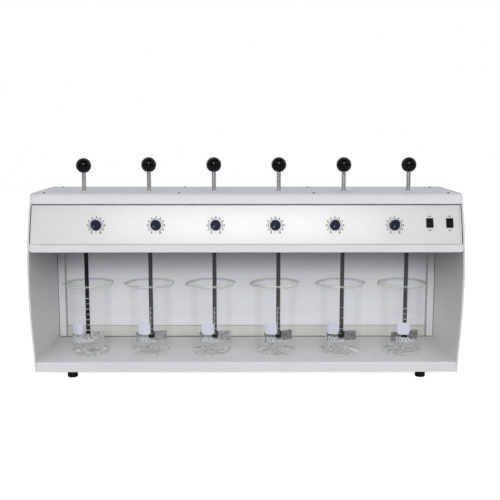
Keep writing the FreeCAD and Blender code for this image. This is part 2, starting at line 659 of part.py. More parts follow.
def motor_housings():
    """Six motor cans on the head tray, each with a bearing seat at both ends and a plug behind."""
    cans = []
    for x in STATION_X:
        base = Vector(x, SHAFT_Y, TRAY_TOP_Z)
        can = rod(MOTOR_DIAMETER, MOTOR_HEIGHT, base)
        plug_x, plug_y, plug_z = MOTOR_PLUG_SIZE
        behind = SHAFT_Y + MOTOR_DIAMETER / 2
        plug = box(x - plug_x / 2, x + plug_x / 2, behind - MOTOR_WALL, behind + plug_y,
                   MOTOR_MID_Z - plug_z / 2, MOTOR_MID_Z + plug_z / 2)
        hollow = rod(MOTOR_DIAMETER - 2 * MOTOR_WALL, MOTOR_HEIGHT - 2 * MOTOR_END_PLATE,
                     base + Z_AXIS * MOTOR_END_PLATE)
        bore = rod(BEARING_SHOULDER, MOTOR_HEIGHT, base)
        seats = [rod(BEARING_DIAMETER, BEARING_WIDTH, place) for place in bearing_places(x)]
        cans.append(cut(fuse([can, plug]), [hollow, bore] + seats))
    return cans


def bearing_places(x):
    """Undersides of the two bearings of the spindle at x."""
    return [Vector(x, SHAFT_Y, TRAY_TOP_Z), Vector(x, SHAFT_Y, MOTOR_TOP_Z - BEARING_WIDTH)]


def spindle_bearings():
    """Two bearings for each spindle."""
    bore = SPINDLE_DIAMETER + 2 * RUNNING_CLEARANCE
    places = [place for x in STATION_X for place in bearing_places(x)]
    return [tube(BEARING_DIAMETER, bore, BEARING_WIDTH, place) for place in places]


def stator_rings():
    """Slotted iron rings that stand round the rotors, one in each motor."""
    outer = MOTOR_DIAMETER - 2 * MOTOR_WALL
    inner = ROTOR_DIAMETER + 2 * AIR_GAP
    reach = inner / 2 + STATOR_SLOT_DEPTH
    rings = []
    for x in STATION_X:
        base = Vector(x, SHAFT_Y, MOTOR_MID_Z - ROTOR_HEIGHT / 2)
        ring = tube(outer, inner, ROTOR_HEIGHT, base)
        slots = []
        for i in range(STATOR_SLOT_COUNT):
            slot = box(base.x, base.x + reach, base.y - STATOR_SLOT_WIDTH / 2,
                       base.y + STATOR_SLOT_WIDTH / 2, base.z, base.z + ROTOR_HEIGHT)
            slot.rotate(base, Z_AXIS, i * 360 / STATOR_SLOT_COUNT)
            slots.append(slot)
        rings.append(cut(ring, slots))
    return rings


def drive_spindle(x):
    """Hollow spindle with its rotor, and the collar on top that grips the stirrer's shaft."""
    bore = SHAFT_DIAMETER + 2 * RUNNING_CLEARANCE
    bottom = TRAY_Z - SPINDLE_NOSE
    top = COLLAR_Z + GRIP_COLLAR_HEIGHT
    body = rod(SPINDLE_DIAMETER, top - bottom, Vector(x, SHAFT_Y, bottom))
    collar = rod(GRIP_COLLAR_DIAMETER, GRIP_COLLAR_HEIGHT, Vector(x, SHAFT_Y, COLLAR_Z))
    spindle = cut(fuse([body, collar]), [rod(bore, top - bottom, Vector(x, SHAFT_Y, bottom))])
    rotor_base = Vector(x, SHAFT_Y, MOTOR_MID_Z - ROTOR_HEIGHT / 2)
    return [spindle, tube(ROTOR_DIAMETER, SPINDLE_DIAMETER, ROTOR_HEIGHT, rotor_base)]


def shaft_bushes():
    """Flanged bushes in the top cover, one round each shaft."""
    bore = SHAFT_DIAMETER + 2 * RUNNING_CLEARANCE
    bushes = []
    for x in STATION_X:
        bottom = Vector(x, SHAFT_Y, COVER_TOP_Z - BUSH_LENGTH)
        body = rod(BUSH_DIAMETER, BUSH_LENGTH, bottom)
        flange = rod(BUSH_FLANGE_DIAMETER, BUSH_FLANGE_HEIGHT, Vector(x, SHAFT_Y, COVER_TOP_Z))
        flange = round_edges(flange, BUSH_EDGE_RADIUS, lambda edge: edge.BoundBox.ZMin > COVER_TOP_Z)
        hole = rod(bore, BUSH_LENGTH + BUSH_FLANGE_HEIGHT, bottom)
        bushes.append(cut(fuse([body, flange]), [hole]))
    return bushes


# ---------------------------------------------------------------- stirrers

def shaft_bottom(station):
    """Lower end of a station's shaft, as the stirrer is left."""
    z = BASE_Z + SHAFT_END_HEIGHT + STIRRER_SETTINGS[station]
    return Vector(STATION_X[station], SHAFT_Y, z)


def ball_centre(station):
    """Middle of a station's ball knob."""
    z = TOP_Z + BALL_CENTRE_RISE + STIRRER_SETTINGS[station]
    return Vector(STATION_X[station], SHAFT_Y, z)


def ball_flat_rise():
    """How far below its middle the ball is cut flat."""
    return math.sqrt((BALL_DIAMETER / 2) ** 2 - (BALL_FLAT_DIAMETER / 2) ** 2)


def stirrer_shaft(station):
    """Steel rod from the paddle's hub up into the ball knob."""
    bottom = shaft_bottom(station)
    top = ball_centre(station).z - ball_flat_rise() + BALL_SOCKET_DEPTH
    return rod(SHAFT_DIAMETER, top - bottom.z, bottom)


def ball_knob(station):
    """Ball with a flat underside and a blind hole for the shaft."""
    centre = ball_centre(station)
    radius = BALL_DIAMETER / 2
    ball = Part.makeSphere(radius, centre)
    flat_z = centre.z - ball_flat_rise()
    below = box(centre.x - radius, centre.x + radius, centre.y - radius, centre.y + radius,
                centre.z - radius, flat_z)
    return cut(ball, [below, stirrer_shaft(station)])


def paddle(station):
    """Sheet steel blade welded across a hub that takes the end of the shaft."""
    end = shaft_bottom(station)
    bottom = end.z - PADDLE_DROP
    half = PADDLE_WIDTH / 2
    blade = box(end.x - half, end.x + half, end.y - PADDLE_SHEET / 2, end.y + PADDLE_SHEET / 2,
                bottom, bottom + PADDLE_HEIGHT)

    def corner(edge):
        bounds = edge.BoundBox
        return abs(bounds.YLength - PADDLE_SHEET) < TOLERANCE and bounds.ZLength < TOLERANCE

    blade = round_edges(blade, PADDLE_CORNER_RADIUS, corner)
    hub = rod(HUB_DIAMETER, HUB_HEIGHT, end - Z_AXIS * HUB_FLOOR)
    body = cut(fuse([hub, blade]), [stirrer_shaft(station)])
    body.rotate(end, Z_AXIS, PADDLE_ANGLES[station])
    return body


# ---------------------------------------------------------------- controls

def speed_knob(x):
    """Fluted knob with a pointer groove on its turning shaft, drawn in the panel's own frame."""
    radius = KNOB_DIAMETER / 2
    top = KNOB_GAP + KNOB_LENGTH
    skirt = rod(KNOB_DIAMETER, KNOB_SKIRT, Z_AXIS * KNOB_GAP)
    grip_base = radius - KNOB_FLUTE_RADIUS / 2
    grip = Part.makeCone(grip_base, KNOB_TOP_DIAMETER / 2, KNOB_LENGTH - KNOB_SKIRT,
                         Z_AXIS * (KNOB_GAP + KNOB_SKIRT))
    knob = fuse([skirt, grip])
    knob = round_edges(knob, KNOB_EDGE_RADIUS, lambda edge: edge.BoundBox.ZMin > top - TOLERANCE)
    tools = []
    for i in range(KNOB_FLUTE_COUNT):
        angle = 2 * math.pi * i / KNOB_FLUTE_COUNT
        place = Vector(math.cos(angle), math.sin(angle), 0) * (radius + KNOB_FLUTE_RADIUS / 2)
        place.z = KNOB_GAP + KNOB_SKIRT
        tools.append(rod(2 * KNOB_FLUTE_RADIUS, KNOB_LENGTH, place))
    tools.append(rod(KNOB_CAVITY_DIAMETER, KNOB_CAVITY_DEPTH, Z_AXIS * KNOB_GAP))
    pointer = box(KNOB_POINTER_START, radius, -KNOB_POINTER_WIDTH / 2, KNOB_POINTER_WIDTH / 2,
                  top - KNOB_POINTER_DEPTH, top)
    pointer.rotate(Vector(0, 0, 0), Z_AXIS, KNOB_REST_ANGLE)
    tools.append(pointer)
    shaft_length = POT_SHAFT_BEHIND + KNOB_GAP + KNOB_CAVITY_DEPTH + POT_SHAFT_INSERT
    shaft = rod(POT_SHAFT_DIAMETER, shaft_length, Z_AXIS * -POT_SHAFT_BEHIND)
    knob = cut(knob, tools + [shaft])
    place = on_panel(x, KNOB_HEIGHT)
    return [moved(knob, place), moved(shaft, place)]


def speed_potentiometers():
    """Potentiometers behind the panel, each with its bush through the panel and a nut in front."""
    seat = -PANEL_SHEET - panel_sag(POT_BODY_DIAMETER / 2)
    body = rod(POT_BODY_DIAMETER, POT_BODY_LENGTH, Z_AXIS * (seat - POT_BODY_LENGTH))
    bush = rod(POT_BUSH_DIAMETER, POT_BUSH_LENGTH - seat, Z_AXIS * seat)
    tag_x, tag_y, tag_z = POT_TAG_SIZE
    tags = []
    for i in (-1, 0, 1):
        x = i * POT_TAG_PITCH - tag_x / 2
        y = -POT_BODY_DIAMETER / 2 - tag_y
        z = seat - POT_BODY_LENGTH / 2
        tags.append(box(x, x + tag_x, y, y + 2 * tag_y, z, z + tag_z))
    shaft_bore = rod(POT_SHAFT_DIAMETER + 2 * RUNNING_CLEARANCE, POT_BODY_LENGTH + POT_BUSH_LENGTH,
                     Z_AXIS * -(POT_SHAFT_BEHIND + RUNNING_CLEARANCE))
    pot = cut(fuse([body, bush] + tags), [shaft_bore])
    corners = []
    reach = POT_NUT_FLATS / 2 / math.cos(math.pi / POT_NUT_SIDES)
    for i in range(POT_NUT_SIDES + 1):
        angle = 2 * math.pi * i / POT_NUT_SIDES
        corners.append(Vector(reach * math.cos(angle), reach * math.sin(angle), 0))
    nut = Part.Face(Part.makePolygon(corners)).extrude(Z_AXIS * POT_NUT_HEIGHT)
    nut = cut(nut, [rod(POT_BUSH_DIAMETER, POT_NUT_HEIGHT, Vector(0, 0, 0))])
    solids = []
    for x in KNOB_X:
        place = on_panel(x, KNOB_HEIGHT)
        solids += [moved(pot, place), moved(nut, place)]
    return solids


def switch_window():
    """Inner width and height of a switch housing."""
    return SWITCH_BODY_WIDTH - 2 * SWITCH_WALL, SWITCH_BODY_HEIGHT - 2 * SWITCH_WALL


def switch_housings():
    """Two snap-in switch housings with a bezel in front and tags behind."""
    half_w = BEZEL_WIDTH / 2
    half_h = BEZEL_HEIGHT / 2
    bezel = box(-half_w, half_w, -half_h, half_h, 0, BEZEL_THICKNESS)
    bezel = round_edges(bezel, BEZEL_FILLET, lambda edge: edge.BoundBox.ZMax > BEZEL_THICKNESS / 2)
    back = -SWITCH_BODY_DEPTH
    body = box(-SWITCH_BODY_WIDTH / 2, SWITCH_BODY_WIDTH / 2, -SWITCH_BODY_HEIGHT / 2,
               SWITCH_BODY_HEIGHT / 2, back, 0)
    tag_x, tag_y, tag_z = SWITCH_TAG_SIZE
    tags = []
    for i in (-1, 0, 1):
        y = i * SWITCH_TAG_PITCH - tag_y / 2
        tags.append(box(-tag_x / 2, tag_x / 2, y, y + tag_y, back - tag_z, back))
    window_w, window_h = switch_window()
    window = box(-window_w / 2, window_w / 2, -window_h / 2, window_h / 2,
                 back + SWITCH_WALL, BEZEL_THICKNESS)
    pin = ROCKER_PIN_DIAMETER + 2 * RUNNING_CLEARANCE
    pin_hole = rod(pin, SWITCH_BODY_WIDTH, Vector(-SWITCH_BODY_WIDTH / 2, 0, PIVOT_LOCAL_Z), X_AXIS)
    housing = cut(fuse([bezel, body] + tags), [window, pin_hole])
    return [moved(housing, on_panel(x, SWITCH_HEIGHT)) for x in SWITCH_POSITIONS]


def rocker(x):
    """Rocker button with a hollowed face and two pivot pins. Its lower end is pressed."""
    window_w, window_h = switch_window()
    width = window_w - 2 * ROCKER_CLEARANCE
    radius = window_h / 2 - ROCKER_CLEARANCE
    drum = rod(2 * radius, width, Vector(-width / 2, 0, 0), X_AXIS)
    middle = ROCKER_PIVOT_DEPTH + ROCKER_STAND
    end = middle + radius * math.tan(math.radians(ROCKER_TILT))
    outline = [
        Vector(-width / 2, -radius, -radius),
        Vector(-width / 2, radius, -radius),
        Vector(-width / 2, radius, end),
        Vector(-width / 2, 0, middle),
        Vector(-width / 2, -radius, end),
    ]
    prism = Part.Face(Part.makePolygon(outline + outline[:1])).extrude(X_AXIS * width)
    button = drum.common(prism)
    pin_half = window_w / 2 + ROCKER_PIN_LENGTH
    pin = rod(ROCKER_PIN_DIAMETER, 2 * pin_half, Vector(-pin_half, 0, 0), X_AXIS)
    button = fuse([button, pin])
    button.rotate(Vector(0, 0, 0), X_AXIS, ROCKER_TILT)
    button.translate(Z_AXIS * PIVOT_LOCAL_Z)
    return moved(button, on_panel(x, SWITCH_HEIGHT))


# ---------------------------------------------------------------- electrics

def inlet_block(width, tall, y0, y1):
    """Box round the inlet's axis, between two depths."""
    z = BASE_Z + INLET_HEIGHT
    return box(INLET_POSITION - width / 2, INLET_POSITION + width / 2, y0, y1,
               z - tall / 2, z + tall / 2)


def mains_inlet():
    """Three-pin appliance inlet in the rear cover, open to the back."""
    front = REAR_COVER_BACK - INLET_DEPTH
    flange_back = REAR_COVER_BACK + INLET_WALL
    body = inlet_block(INLET_WIDTH, INLET_TALL, front, REAR_COVER_BACK)
    flange = inlet_block(INLET_FLANGE_WIDTH, INLET_FLANGE_TALL, REAR_COVER_BACK, flange_back)
    socket_floor = flange_back - INLET_SOCKET_DEPTH
    socket = inlet_block(INLET_WIDTH - 2 * INLET_WALL, INLET_TALL - 2 * INLET_WALL,
                         socket_floor, flange_back)
    shell = cut(fuse([body, flange]), [socket])
    pins = []
    z = BASE_Z + INLET_HEIGHT
    for column, row in ((-1, -1), (1, -1), (0, 1)):
        x = INLET_POSITION + column * INLET_PIN_PITCH
        pin_z = z + row * INLET_PIN_RISE / 2
        pins.append(box(x - INLET_PIN_WIDTH / 2, x + INLET_PIN_WIDTH / 2, socket_floor,
                        socket_floor + INLET_PIN_LENGTH, pin_z - INLET_PIN_TALL / 2,
                        pin_z + INLET_PIN_TALL / 2))
    return [shell] + pins


def control_board():
    """Board on four posts from the rear cover, its heat sink, and the transformer on the tray."""
    board_back = REAR_COVER_FRONT - BOARD_FROM_BACK
    board_front = board_back - BOARD_THICKNESS
    x0 = CASE_WIDTH / 2 - BOARD_FROM_RIGHT - BOARD_LENGTH / 2
    z0 = TRAY_Z + BOARD_RISE
    board = box(x0, x0 + BOARD_LENGTH, board_front, board_back, z0, z0 + BOARD_HEIGHT)
    posts = []
    for x in (x0 + BOARD_POST_DIAMETER, x0 + BOARD_LENGTH - BOARD_POST_DIAMETER):
        for z in (z0 + BOARD_POST_DIAMETER, z0 + BOARD_HEIGHT - BOARD_POST_DIAMETER):
            posts.append(rod(BOARD_POST_DIAMETER, BOARD_FROM_BACK, Vector(x, board_back, z), Y_AXIS))
    sink_x, sink_y, sink_z = HEAT_SINK_SIZE
    sink_z0 = z0 + (BOARD_HEIGHT - sink_z) / 2
    sink = box(x0 + sink_x / 2, x0 + 3 * sink_x / 2, board_front - sink_y, board_front,
               sink_z0, sink_z0 + sink_z)
    grooves = []
    groove = sink_x / (2 * HEAT_SINK_FINS - 1)
    for i in range(1, HEAT_SINK_FINS):
        groove_x = x0 + sink_x / 2 + (2 * i - 1) * groove
        grooves.append(box(groove_x, groove_x + groove, board_front - sink_y,
                           board_front - HEAT_SINK_BASE, sink_z0, sink_z0 + sink_z))
    core_x, core_y, core_z = TRANSFORMER_SIZE
    core_x0 = CASE_WIDTH / 2 - TRANSFORMER_FROM_RIGHT
    core = box(core_x0, core_x0 + core_x, TRANSFORMER_Y, TRANSFORMER_Y + core_y,
               TRAY_TOP_Z, TRAY_TOP_Z + core_z)
    return [board, cut(sink, grooves), core] + posts


# ---------------------------------------------------------------- beakers

def beaker_profile(radius, floor_z, base_radius, flare_radius, flare_z, angle):
    """Half outline of a round vessel up to the end of its flare, as edges and their end point."""
    corner_centre = Vector(radius - base_radius, 0, floor_z + base_radius)
    corner_middle = corner_centre + Vector(base_radius, 0, -base_radius) * math.sqrt(0.5)
    flare_centre = Vector(radius + flare_radius, 0, flare_z)
    flare_middle = flare_centre + Vector(-math.cos(angle / 2), 0, math.sin(angle / 2)) * flare_radius
    flare_end = flare_centre + Vector(-math.cos(angle), 0, math.sin(angle)) * flare_radius
    bottom = Vector(0, 0, floor_z)
    corner_start = Vector(radius - base_radius, 0, floor_z)
    corner_end = Vector(radius, 0, floor_z + base_radius)
    wall_end = Vector(radius, 0, flare_z)
    edges = [
        Part.makeLine(bottom, corner_start),
        Part.Arc(corner_start, corner_middle, corner_end).toShape(),
        Part.makeLine(corner_end, wall_end),
        Part.Arc(wall_end, flare_middle, flare_end).toShape(),
    ]
    return edges, flare_end


def beaker(station):
    """One-litre beaker with a flared rim and a pouring spout."""
    radius = BEAKER_DIAMETER / 2
    flare = (BEAKER_RIM_FLARE ** 2 + BEAKER_RIM_HEIGHT ** 2) / (2 * BEAKER_RIM_FLARE)
    angle = math.asin(BEAKER_RIM_HEIGHT / flare)
    flare_z = BEAKER_HEIGHT - BEAKER_RIM_HEIGHT
    outer, outer_end = beaker_profile(radius, 0, BEAKER_BASE_RADIUS, flare, flare_z, angle)
    inner, inner_end = beaker_profile(radius - BEAKER_WALL, BEAKER_FLOOR,
                                      BEAKER_BASE_RADIUS - BEAKER_WALL, flare + BEAKER_WALL,
                                      flare_z, angle)
    axis_bottom = Vector(0, 0, 0)
    axis_top = Vector(0, 0, BEAKER_HEIGHT)
    outside = revolve(outer + [Part.makeLine(outer_end, axis_top), Part.makeLine(axis_top, axis_bottom)])
    inner_top = Vector(0, 0, inner_end.z)
    inner_bottom = Vector(0, 0, BEAKER_FLOOR)
    inside = revolve(inner + [Part.makeLine(inner_end, inner_top), Part.makeLine(inner_top, inner_bottom)])
    glass = fuse([outside, spout_cone(0)]).common(rod(4 * radius, BEAKER_HEIGHT, axis_bottom))
    glass = cut(glass, [inside, spout_cone(BEAKER_WALL)])
    place = Vector(STATION_X[station] + BEAKER_OFFSETS[station], SHAFT_Y + BEAKER_SETBACK, SHELF_Z)
    glass.rotate(axis_bottom, Z_AXIS, SPOUT_ANGLES[station])
    glass.translate(place)
    return glass


def revolve(edges):
    """Solid of revolution about Z from a closed outline."""
    return Part.Face(Part.Wire(edges)).revolve(Vector(0, 0, 0), Z_AXIS, 360)


def spout_cone(wall):
    """Leaning cone that bulges the rim into a spout, drawn in by a wall on every side."""
    radius = BEAKER_DIAMETER / 2
    tip = radius + BEAKER_RIM_FLARE + SPOUT_REACH - SPOUT_RADIUS
    apex = Vector(radius - SPOUT_RADIUS, 0, BEAKER_HEIGHT - SPOUT_DROP)
    direction = Vector(tip, 0, BEAKER_HEIGHT) - apex
    length = SPOUT_OVERRUN * direction.Length
    direction.normalize()
    top_radius = SPOUT_OVERRUN * SPOUT_RADIUS - wall
    return Part.makeCone(SPOUT_TIP_RADIUS - wall / 2, top_radius, length, apex, direction)


# ---------------------------------------------------------------- write every node

def main():
    os.makedirs("parts", exist_ok=True)
    save("side_panel_left", [side_panel(-1)])
    save("side_panel_right", [side_panel(1)])
    save("top_cover", [top_cover()])
    save("cover_rail", [cover_rail()])
    save("control_panel", [control_panel()])
    save("head_tray", [head_tray()])
    save("base_tray", [base_tray()])
    save("rear_cover", [rear_cover()])
    save("light_diffuser", [light_diffuser()])
    save("diffuser_frame", [diffuser_frame()])
    save("lamp_tube", lamp_tube())
    save("lamp_holders", lamp_holders())
    save("motor_housings", motor_housings())
    save("stator_rings", stator_rings())
    save("spindle_bearings", spindle_bearings())
    save("shaft_bushes", shaft_bushes())
    save("switch_housings", switch_housings())
    save("speed_potentiometers", speed_potentiometers())
    save("control_board", control_board())
    save("mains_inlet", mains_inlet())
    save("rubber_feet", rubber_feet())
    save("cover_screws", cover_screws())
    for station, x in enumerate(STATION_X):
        number = str(station + 1)
        save("drive_spindle_" + number, drive_spindle(x))
        save("stirrer_shaft_" + number, [stirrer_shaft(station)])
        save("ball_knob_" + number, [ball_knob(station)])
        save("paddle_" + number, [paddle(station)])
        save("beaker_" + number, [beaker(station)])
        save("speed_knob_" + number, speed_knob(KNOB_X[station]))
    for name, x in zip(SWITCH_NAMES, SWITCH_POSITIONS):
        save(name, [rocker(x)])


main()
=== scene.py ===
# %% [markdown]
# # Dressing a six-place jar tester
#
# A jar tester stirs six beakers of water side by side, so that six doses of a
# settling chemical can be compared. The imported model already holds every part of
# the machine at its real size. This lesson gives the parts their finishes and adds
# what a maker would blow, mould or print: glass beakers, ball knobs and dials.

# %% Load the machine
import json
import math

import bmesh
import bpy
from mathutils import Matrix, Vector


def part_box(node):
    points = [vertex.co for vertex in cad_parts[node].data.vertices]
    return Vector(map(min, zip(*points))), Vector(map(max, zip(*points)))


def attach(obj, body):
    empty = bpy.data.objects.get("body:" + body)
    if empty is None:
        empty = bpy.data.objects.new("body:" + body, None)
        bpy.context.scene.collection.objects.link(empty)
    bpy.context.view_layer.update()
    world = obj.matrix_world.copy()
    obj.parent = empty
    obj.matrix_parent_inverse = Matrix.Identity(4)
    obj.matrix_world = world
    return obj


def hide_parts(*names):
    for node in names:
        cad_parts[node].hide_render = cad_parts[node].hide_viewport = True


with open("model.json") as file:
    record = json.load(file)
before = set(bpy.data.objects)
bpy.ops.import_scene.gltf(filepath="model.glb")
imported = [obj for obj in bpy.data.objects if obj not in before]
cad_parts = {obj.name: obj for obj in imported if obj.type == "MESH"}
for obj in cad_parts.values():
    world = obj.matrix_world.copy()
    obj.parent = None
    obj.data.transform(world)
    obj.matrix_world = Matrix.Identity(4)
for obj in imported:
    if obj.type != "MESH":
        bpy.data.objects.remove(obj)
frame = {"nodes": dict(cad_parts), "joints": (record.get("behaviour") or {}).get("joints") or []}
nodes = frame["nodes"]
joints = {joint["name"]: joint for joint in frame["joints"]}
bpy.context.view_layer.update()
STATIONS = range(1, 7)

# %% [markdown]
# ## The camera
#
# A long bench instrument is best seen from the front and a little above, far enough
# away that its ends don't spread. A 60 mm lens at two metres does that. The camera
# looks down by about eight degrees, so that the top of the case shows as a thin band.

# %% Place the camera
SENSOR_WIDTH, FOCAL_LENGTH = 36, 60.22
CAMERA_PLACE = (0.0002, -2.0298, 0.5821)
LOOKS_DOWN, LOOKS_RIGHT = 8.155, 0.244  # degrees

camera = bpy.data.objects.new("camera", bpy.data.cameras.new("camera"))
bpy.context.scene.collection.objects.link(camera)
bpy.context.scene.camera = camera
camera.data.sensor_width = SENSOR_WIDTH
camera.data.lens = FOCAL_LENGTH
camera.location = CAMERA_PLACE
camera.rotation_euler = (math.radians(90 - LOOKS_DOWN), 0, math.radians(-LOOKS_RIGHT))
print("camera at", tuple(camera.location))

# %% [markdown]
# ## The studio
#
# The machine stands on a white sweep. A sweep that is truly white would have to be
# lit so hard that the pale case burns out. Instead the Light Path node shows a white
# of strength 1 to the camera, while the surfaces are lit by a gentler world, a little
# bluer and stronger from above. Reflections see a dim room in front of the machine and
# a lighter one behind it, as in a real studio. Rays that went through glass see the
# white backdrop behind the machine only, so that thick glass keeps its dark edges.

# %% A background that is white only where it is looked at
def any_ray(tree, *kinds):
    """1 for rays of the named kinds, such as "Is Camera Ray", and 0 for the rest."""
    path = tree.nodes.new("ShaderNodeLightPath")
    seen = path.outputs[kinds[0]]
    for kind in kinds[1:]:
        either = tree.nodes.new("ShaderNodeMath")
        either.operation = "MAXIMUM"
        tree.links.new(seen, either.inputs[0])
        tree.links.new(path.outputs[kind], either.inputs[1])
        seen = either.outputs[0]
    return seen


def ramp(tree, value, start, end, low, high):
    """A number that goes from low to high as value goes from start to end."""
    ranged = tree.nodes.new("ShaderNodeMapRange")
    tree.links.new(value, ranged.inputs["Value"])
    for socket, number in zip(("From Min", "From Max", "To Min", "To Max"), (start, end, low, high)):
        ranged.inputs[socket].default_value = number
    return ranged.outputs["Result"]


AMBIENT = (0.07, 0.74)  # strength from the horizon and from straight above
MIRRORED = (0.10, 0.85)  # strength in front of the machine and behind it
AMBIENT_TINT, MIRRORED_TINT = (0.84, 0.88, 1.0, 1), (0.90, 0.92, 1.0, 1)
world = bpy.data.worlds.new("studio")
bpy.context.scene.world = world
world.use_nodes = True
room = world.node_tree
direction = room.nodes.new("ShaderNodeSeparateXYZ")
room.links.new(room.nodes.new("ShaderNodeTexCoord").outputs["Generated"], direction.inputs["Vector"])
ambient = room.nodes["Background"]
ambient.inputs["Color"].default_value = AMBIENT_TINT
room.links.new(ramp(room, direction.outputs["Z"], 0.0, 1.0, *AMBIENT), ambient.inputs["Strength"])
mirrored = room.nodes.new("ShaderNodeBackground")
mirrored.inputs["Color"].default_value = MIRRORED_TINT
room.links.new(ramp(room, direction.outputs["Y"], -0.2, 0.3, *MIRRORED), mirrored.inputs["Strength"])
white = room.nodes.new("ShaderNodeBackground")
white.inputs["Color"].default_value = (1, 1, 1, 1)
in_gloss = room.nodes.new("ShaderNodeMixShader")
room.links.new(any_ray(room, "Is Glossy Ray"), in_gloss.inputs[0])
room.links.new(ambient.outputs[0], in_gloss.inputs[1])
room.links.new(mirrored.outputs[0], in_gloss.inputs[2])
behind = room.nodes.new("ShaderNodeMath")
behind.operation = "MULTIPLY_ADD"
room.links.new(any_ray(room, "Is Transmission Ray"), behind.inputs[0])
room.links.new(ramp(room, direction.outputs["Y"], 0.2, 0.8, 0, 1), behind.inputs[1])
room.links.new(any_ray(room, "Is Camera Ray"), behind.inputs[2])
in_sight = room.nodes.new("ShaderNodeMixShader")
room.links.new(behind.outputs[0], in_sight.inputs[0])
room.links.new(in_gloss.outputs[0], in_sight.inputs[1])
room.links.new(white.outputs[0], in_sight.inputs[2])
room.links.new(in_sight.outputs[0], room.nodes["World Output"].inputs["Surface"])
print("world lights at", AMBIENT)

# %% [markdown]
# The floor is one big plane of mid grey, so that it throws little light up into the
# bay. Its material adds a glow for the camera, which lifts the lit floor to white and
# still leaves the shadow under the case. Mirrored rays don't see the glow: the shafts
# and balls would otherwise look washed out by a white floor.

# %% Lay the floor
def new_mesh(name, shape):
    """Turns a bmesh into a mesh and frees it."""
    mesh = bpy.data.meshes.new(name)
    shape.to_mesh(mesh)
    shape.free()
    return mesh


FLOOR_REACH = 6
FLOOR_GLOW = 0.9

plane = bmesh.new()
bmesh.ops.create_grid(plane, x_segments=2, y_segments=2, size=FLOOR_REACH)
floor = bpy.data.objects.new("floor", new_mesh("floor", plane))
bpy.context.scene.collection.objects.link(floor)

sweep = bpy.data.materials.new("white_sweep")
sweep.use_nodes = True
tree = sweep.node_tree
matt = tree.nodes["Principled BSDF"]
matt.inputs["Base Color"].default_value = (0.40, 0.40, 0.402, 1)
matt.inputs["Roughness"].default_value = 0.9
matt.inputs["Specular IOR Level"].default_value = 0.1
glow = tree.nodes.new("ShaderNodeEmission")
lift = tree.nodes.new("ShaderNodeMath")
lift.operation = "MULTIPLY"
lift.inputs[1].default_value = FLOOR_GLOW
tree.links.new(any_ray(tree, "Is Camera Ray", "Is Transmission Ray"), lift.inputs[0])
tree.links.new(lift.outputs[0], glow.inputs["Strength"])
both = tree.nodes.new("ShaderNodeAddShader")
tree.links.new(matt.outputs[0], both.inputs[0])
tree.links.new(glow.outputs[0], both.inputs[1])
tree.links.new(both.outputs[0], tree.nodes["Material Output"].inputs["Surface"])
floor.data.materials.append(sweep)
print("floor laid")

# %% [markdown]
# The head shades the back of the bay, so the main light is a wide, low window in
# front of the machine, which reaches in under the lip and fades up to it. It is kept
# out of reflections. Three smaller boxes stand higher. They show as three small spots
# in each ball knob. The middle one gives the leaning control panel its sheen and does
# nothing else, so it is hidden from diffuse rays. Two low boxes behind the machine
# light its ends and back, and they don't reach the bay.

# %% Hang the lamps
AIM = Vector((0, 0, 0.24))


def soft_box(name, turn, rise, distance, width, height, power):
    """Rectangular lamp that faces the machine, turn degrees to the right and rise degrees up."""
    light = bpy.data.lights.new(name, "AREA")
    light.shape = "RECTANGLE"
    light.size = width
    light.size_y = height
    light.energy = power
    lamp = bpy.data.objects.new(name, light)
    bpy.context.scene.collection.objects.link(lamp)
    turn, rise = math.radians(turn), math.radians(rise)
    out = Vector((math.sin(turn) * math.cos(rise), -math.cos(turn) * math.cos(rise), math.sin(rise)))
    lamp.location = AIM + out * distance
    lamp.rotation_euler = (-out).to_track_quat("-Z", "Y").to_euler()
    return lamp


window = soft_box("low_window", 0, 18, 2.7, 3.4, 1.1, 56)
window.visible_glossy = False
window.data.color = (1.0, 0.985, 0.99)
sheen = soft_box("box_middle", 0, 32, 2.9, 1.4, 1.4, 32)
sheen.visible_diffuse = False
for side, sign in (("left", -1), ("right", 1)):
    soft_box("box_" + side, sign * 56, 33, 2.9, 0.6, 0.6, 4)
for side, sign in (("left", -1), ("right", 1)):
    soft_box("back_" + side, sign * 125, 7, 2.8, 1.8, 1.2, 26).visible_glossy = False
print("six lamps hung")

# %% [markdown]
# ## A bench of finishes
#
# Every finish starts from the Principled shader. What makes it look made is a little
# uneven colour, a little uneven gloss and a fine relief, all from noise that is
# measured in metres on the part itself. The class below keeps those few links in one
# place, so that each finish is a few lines. Its grain, span and colours make numbers
# and colours, and its paint, polish and relief hand them to the shader.

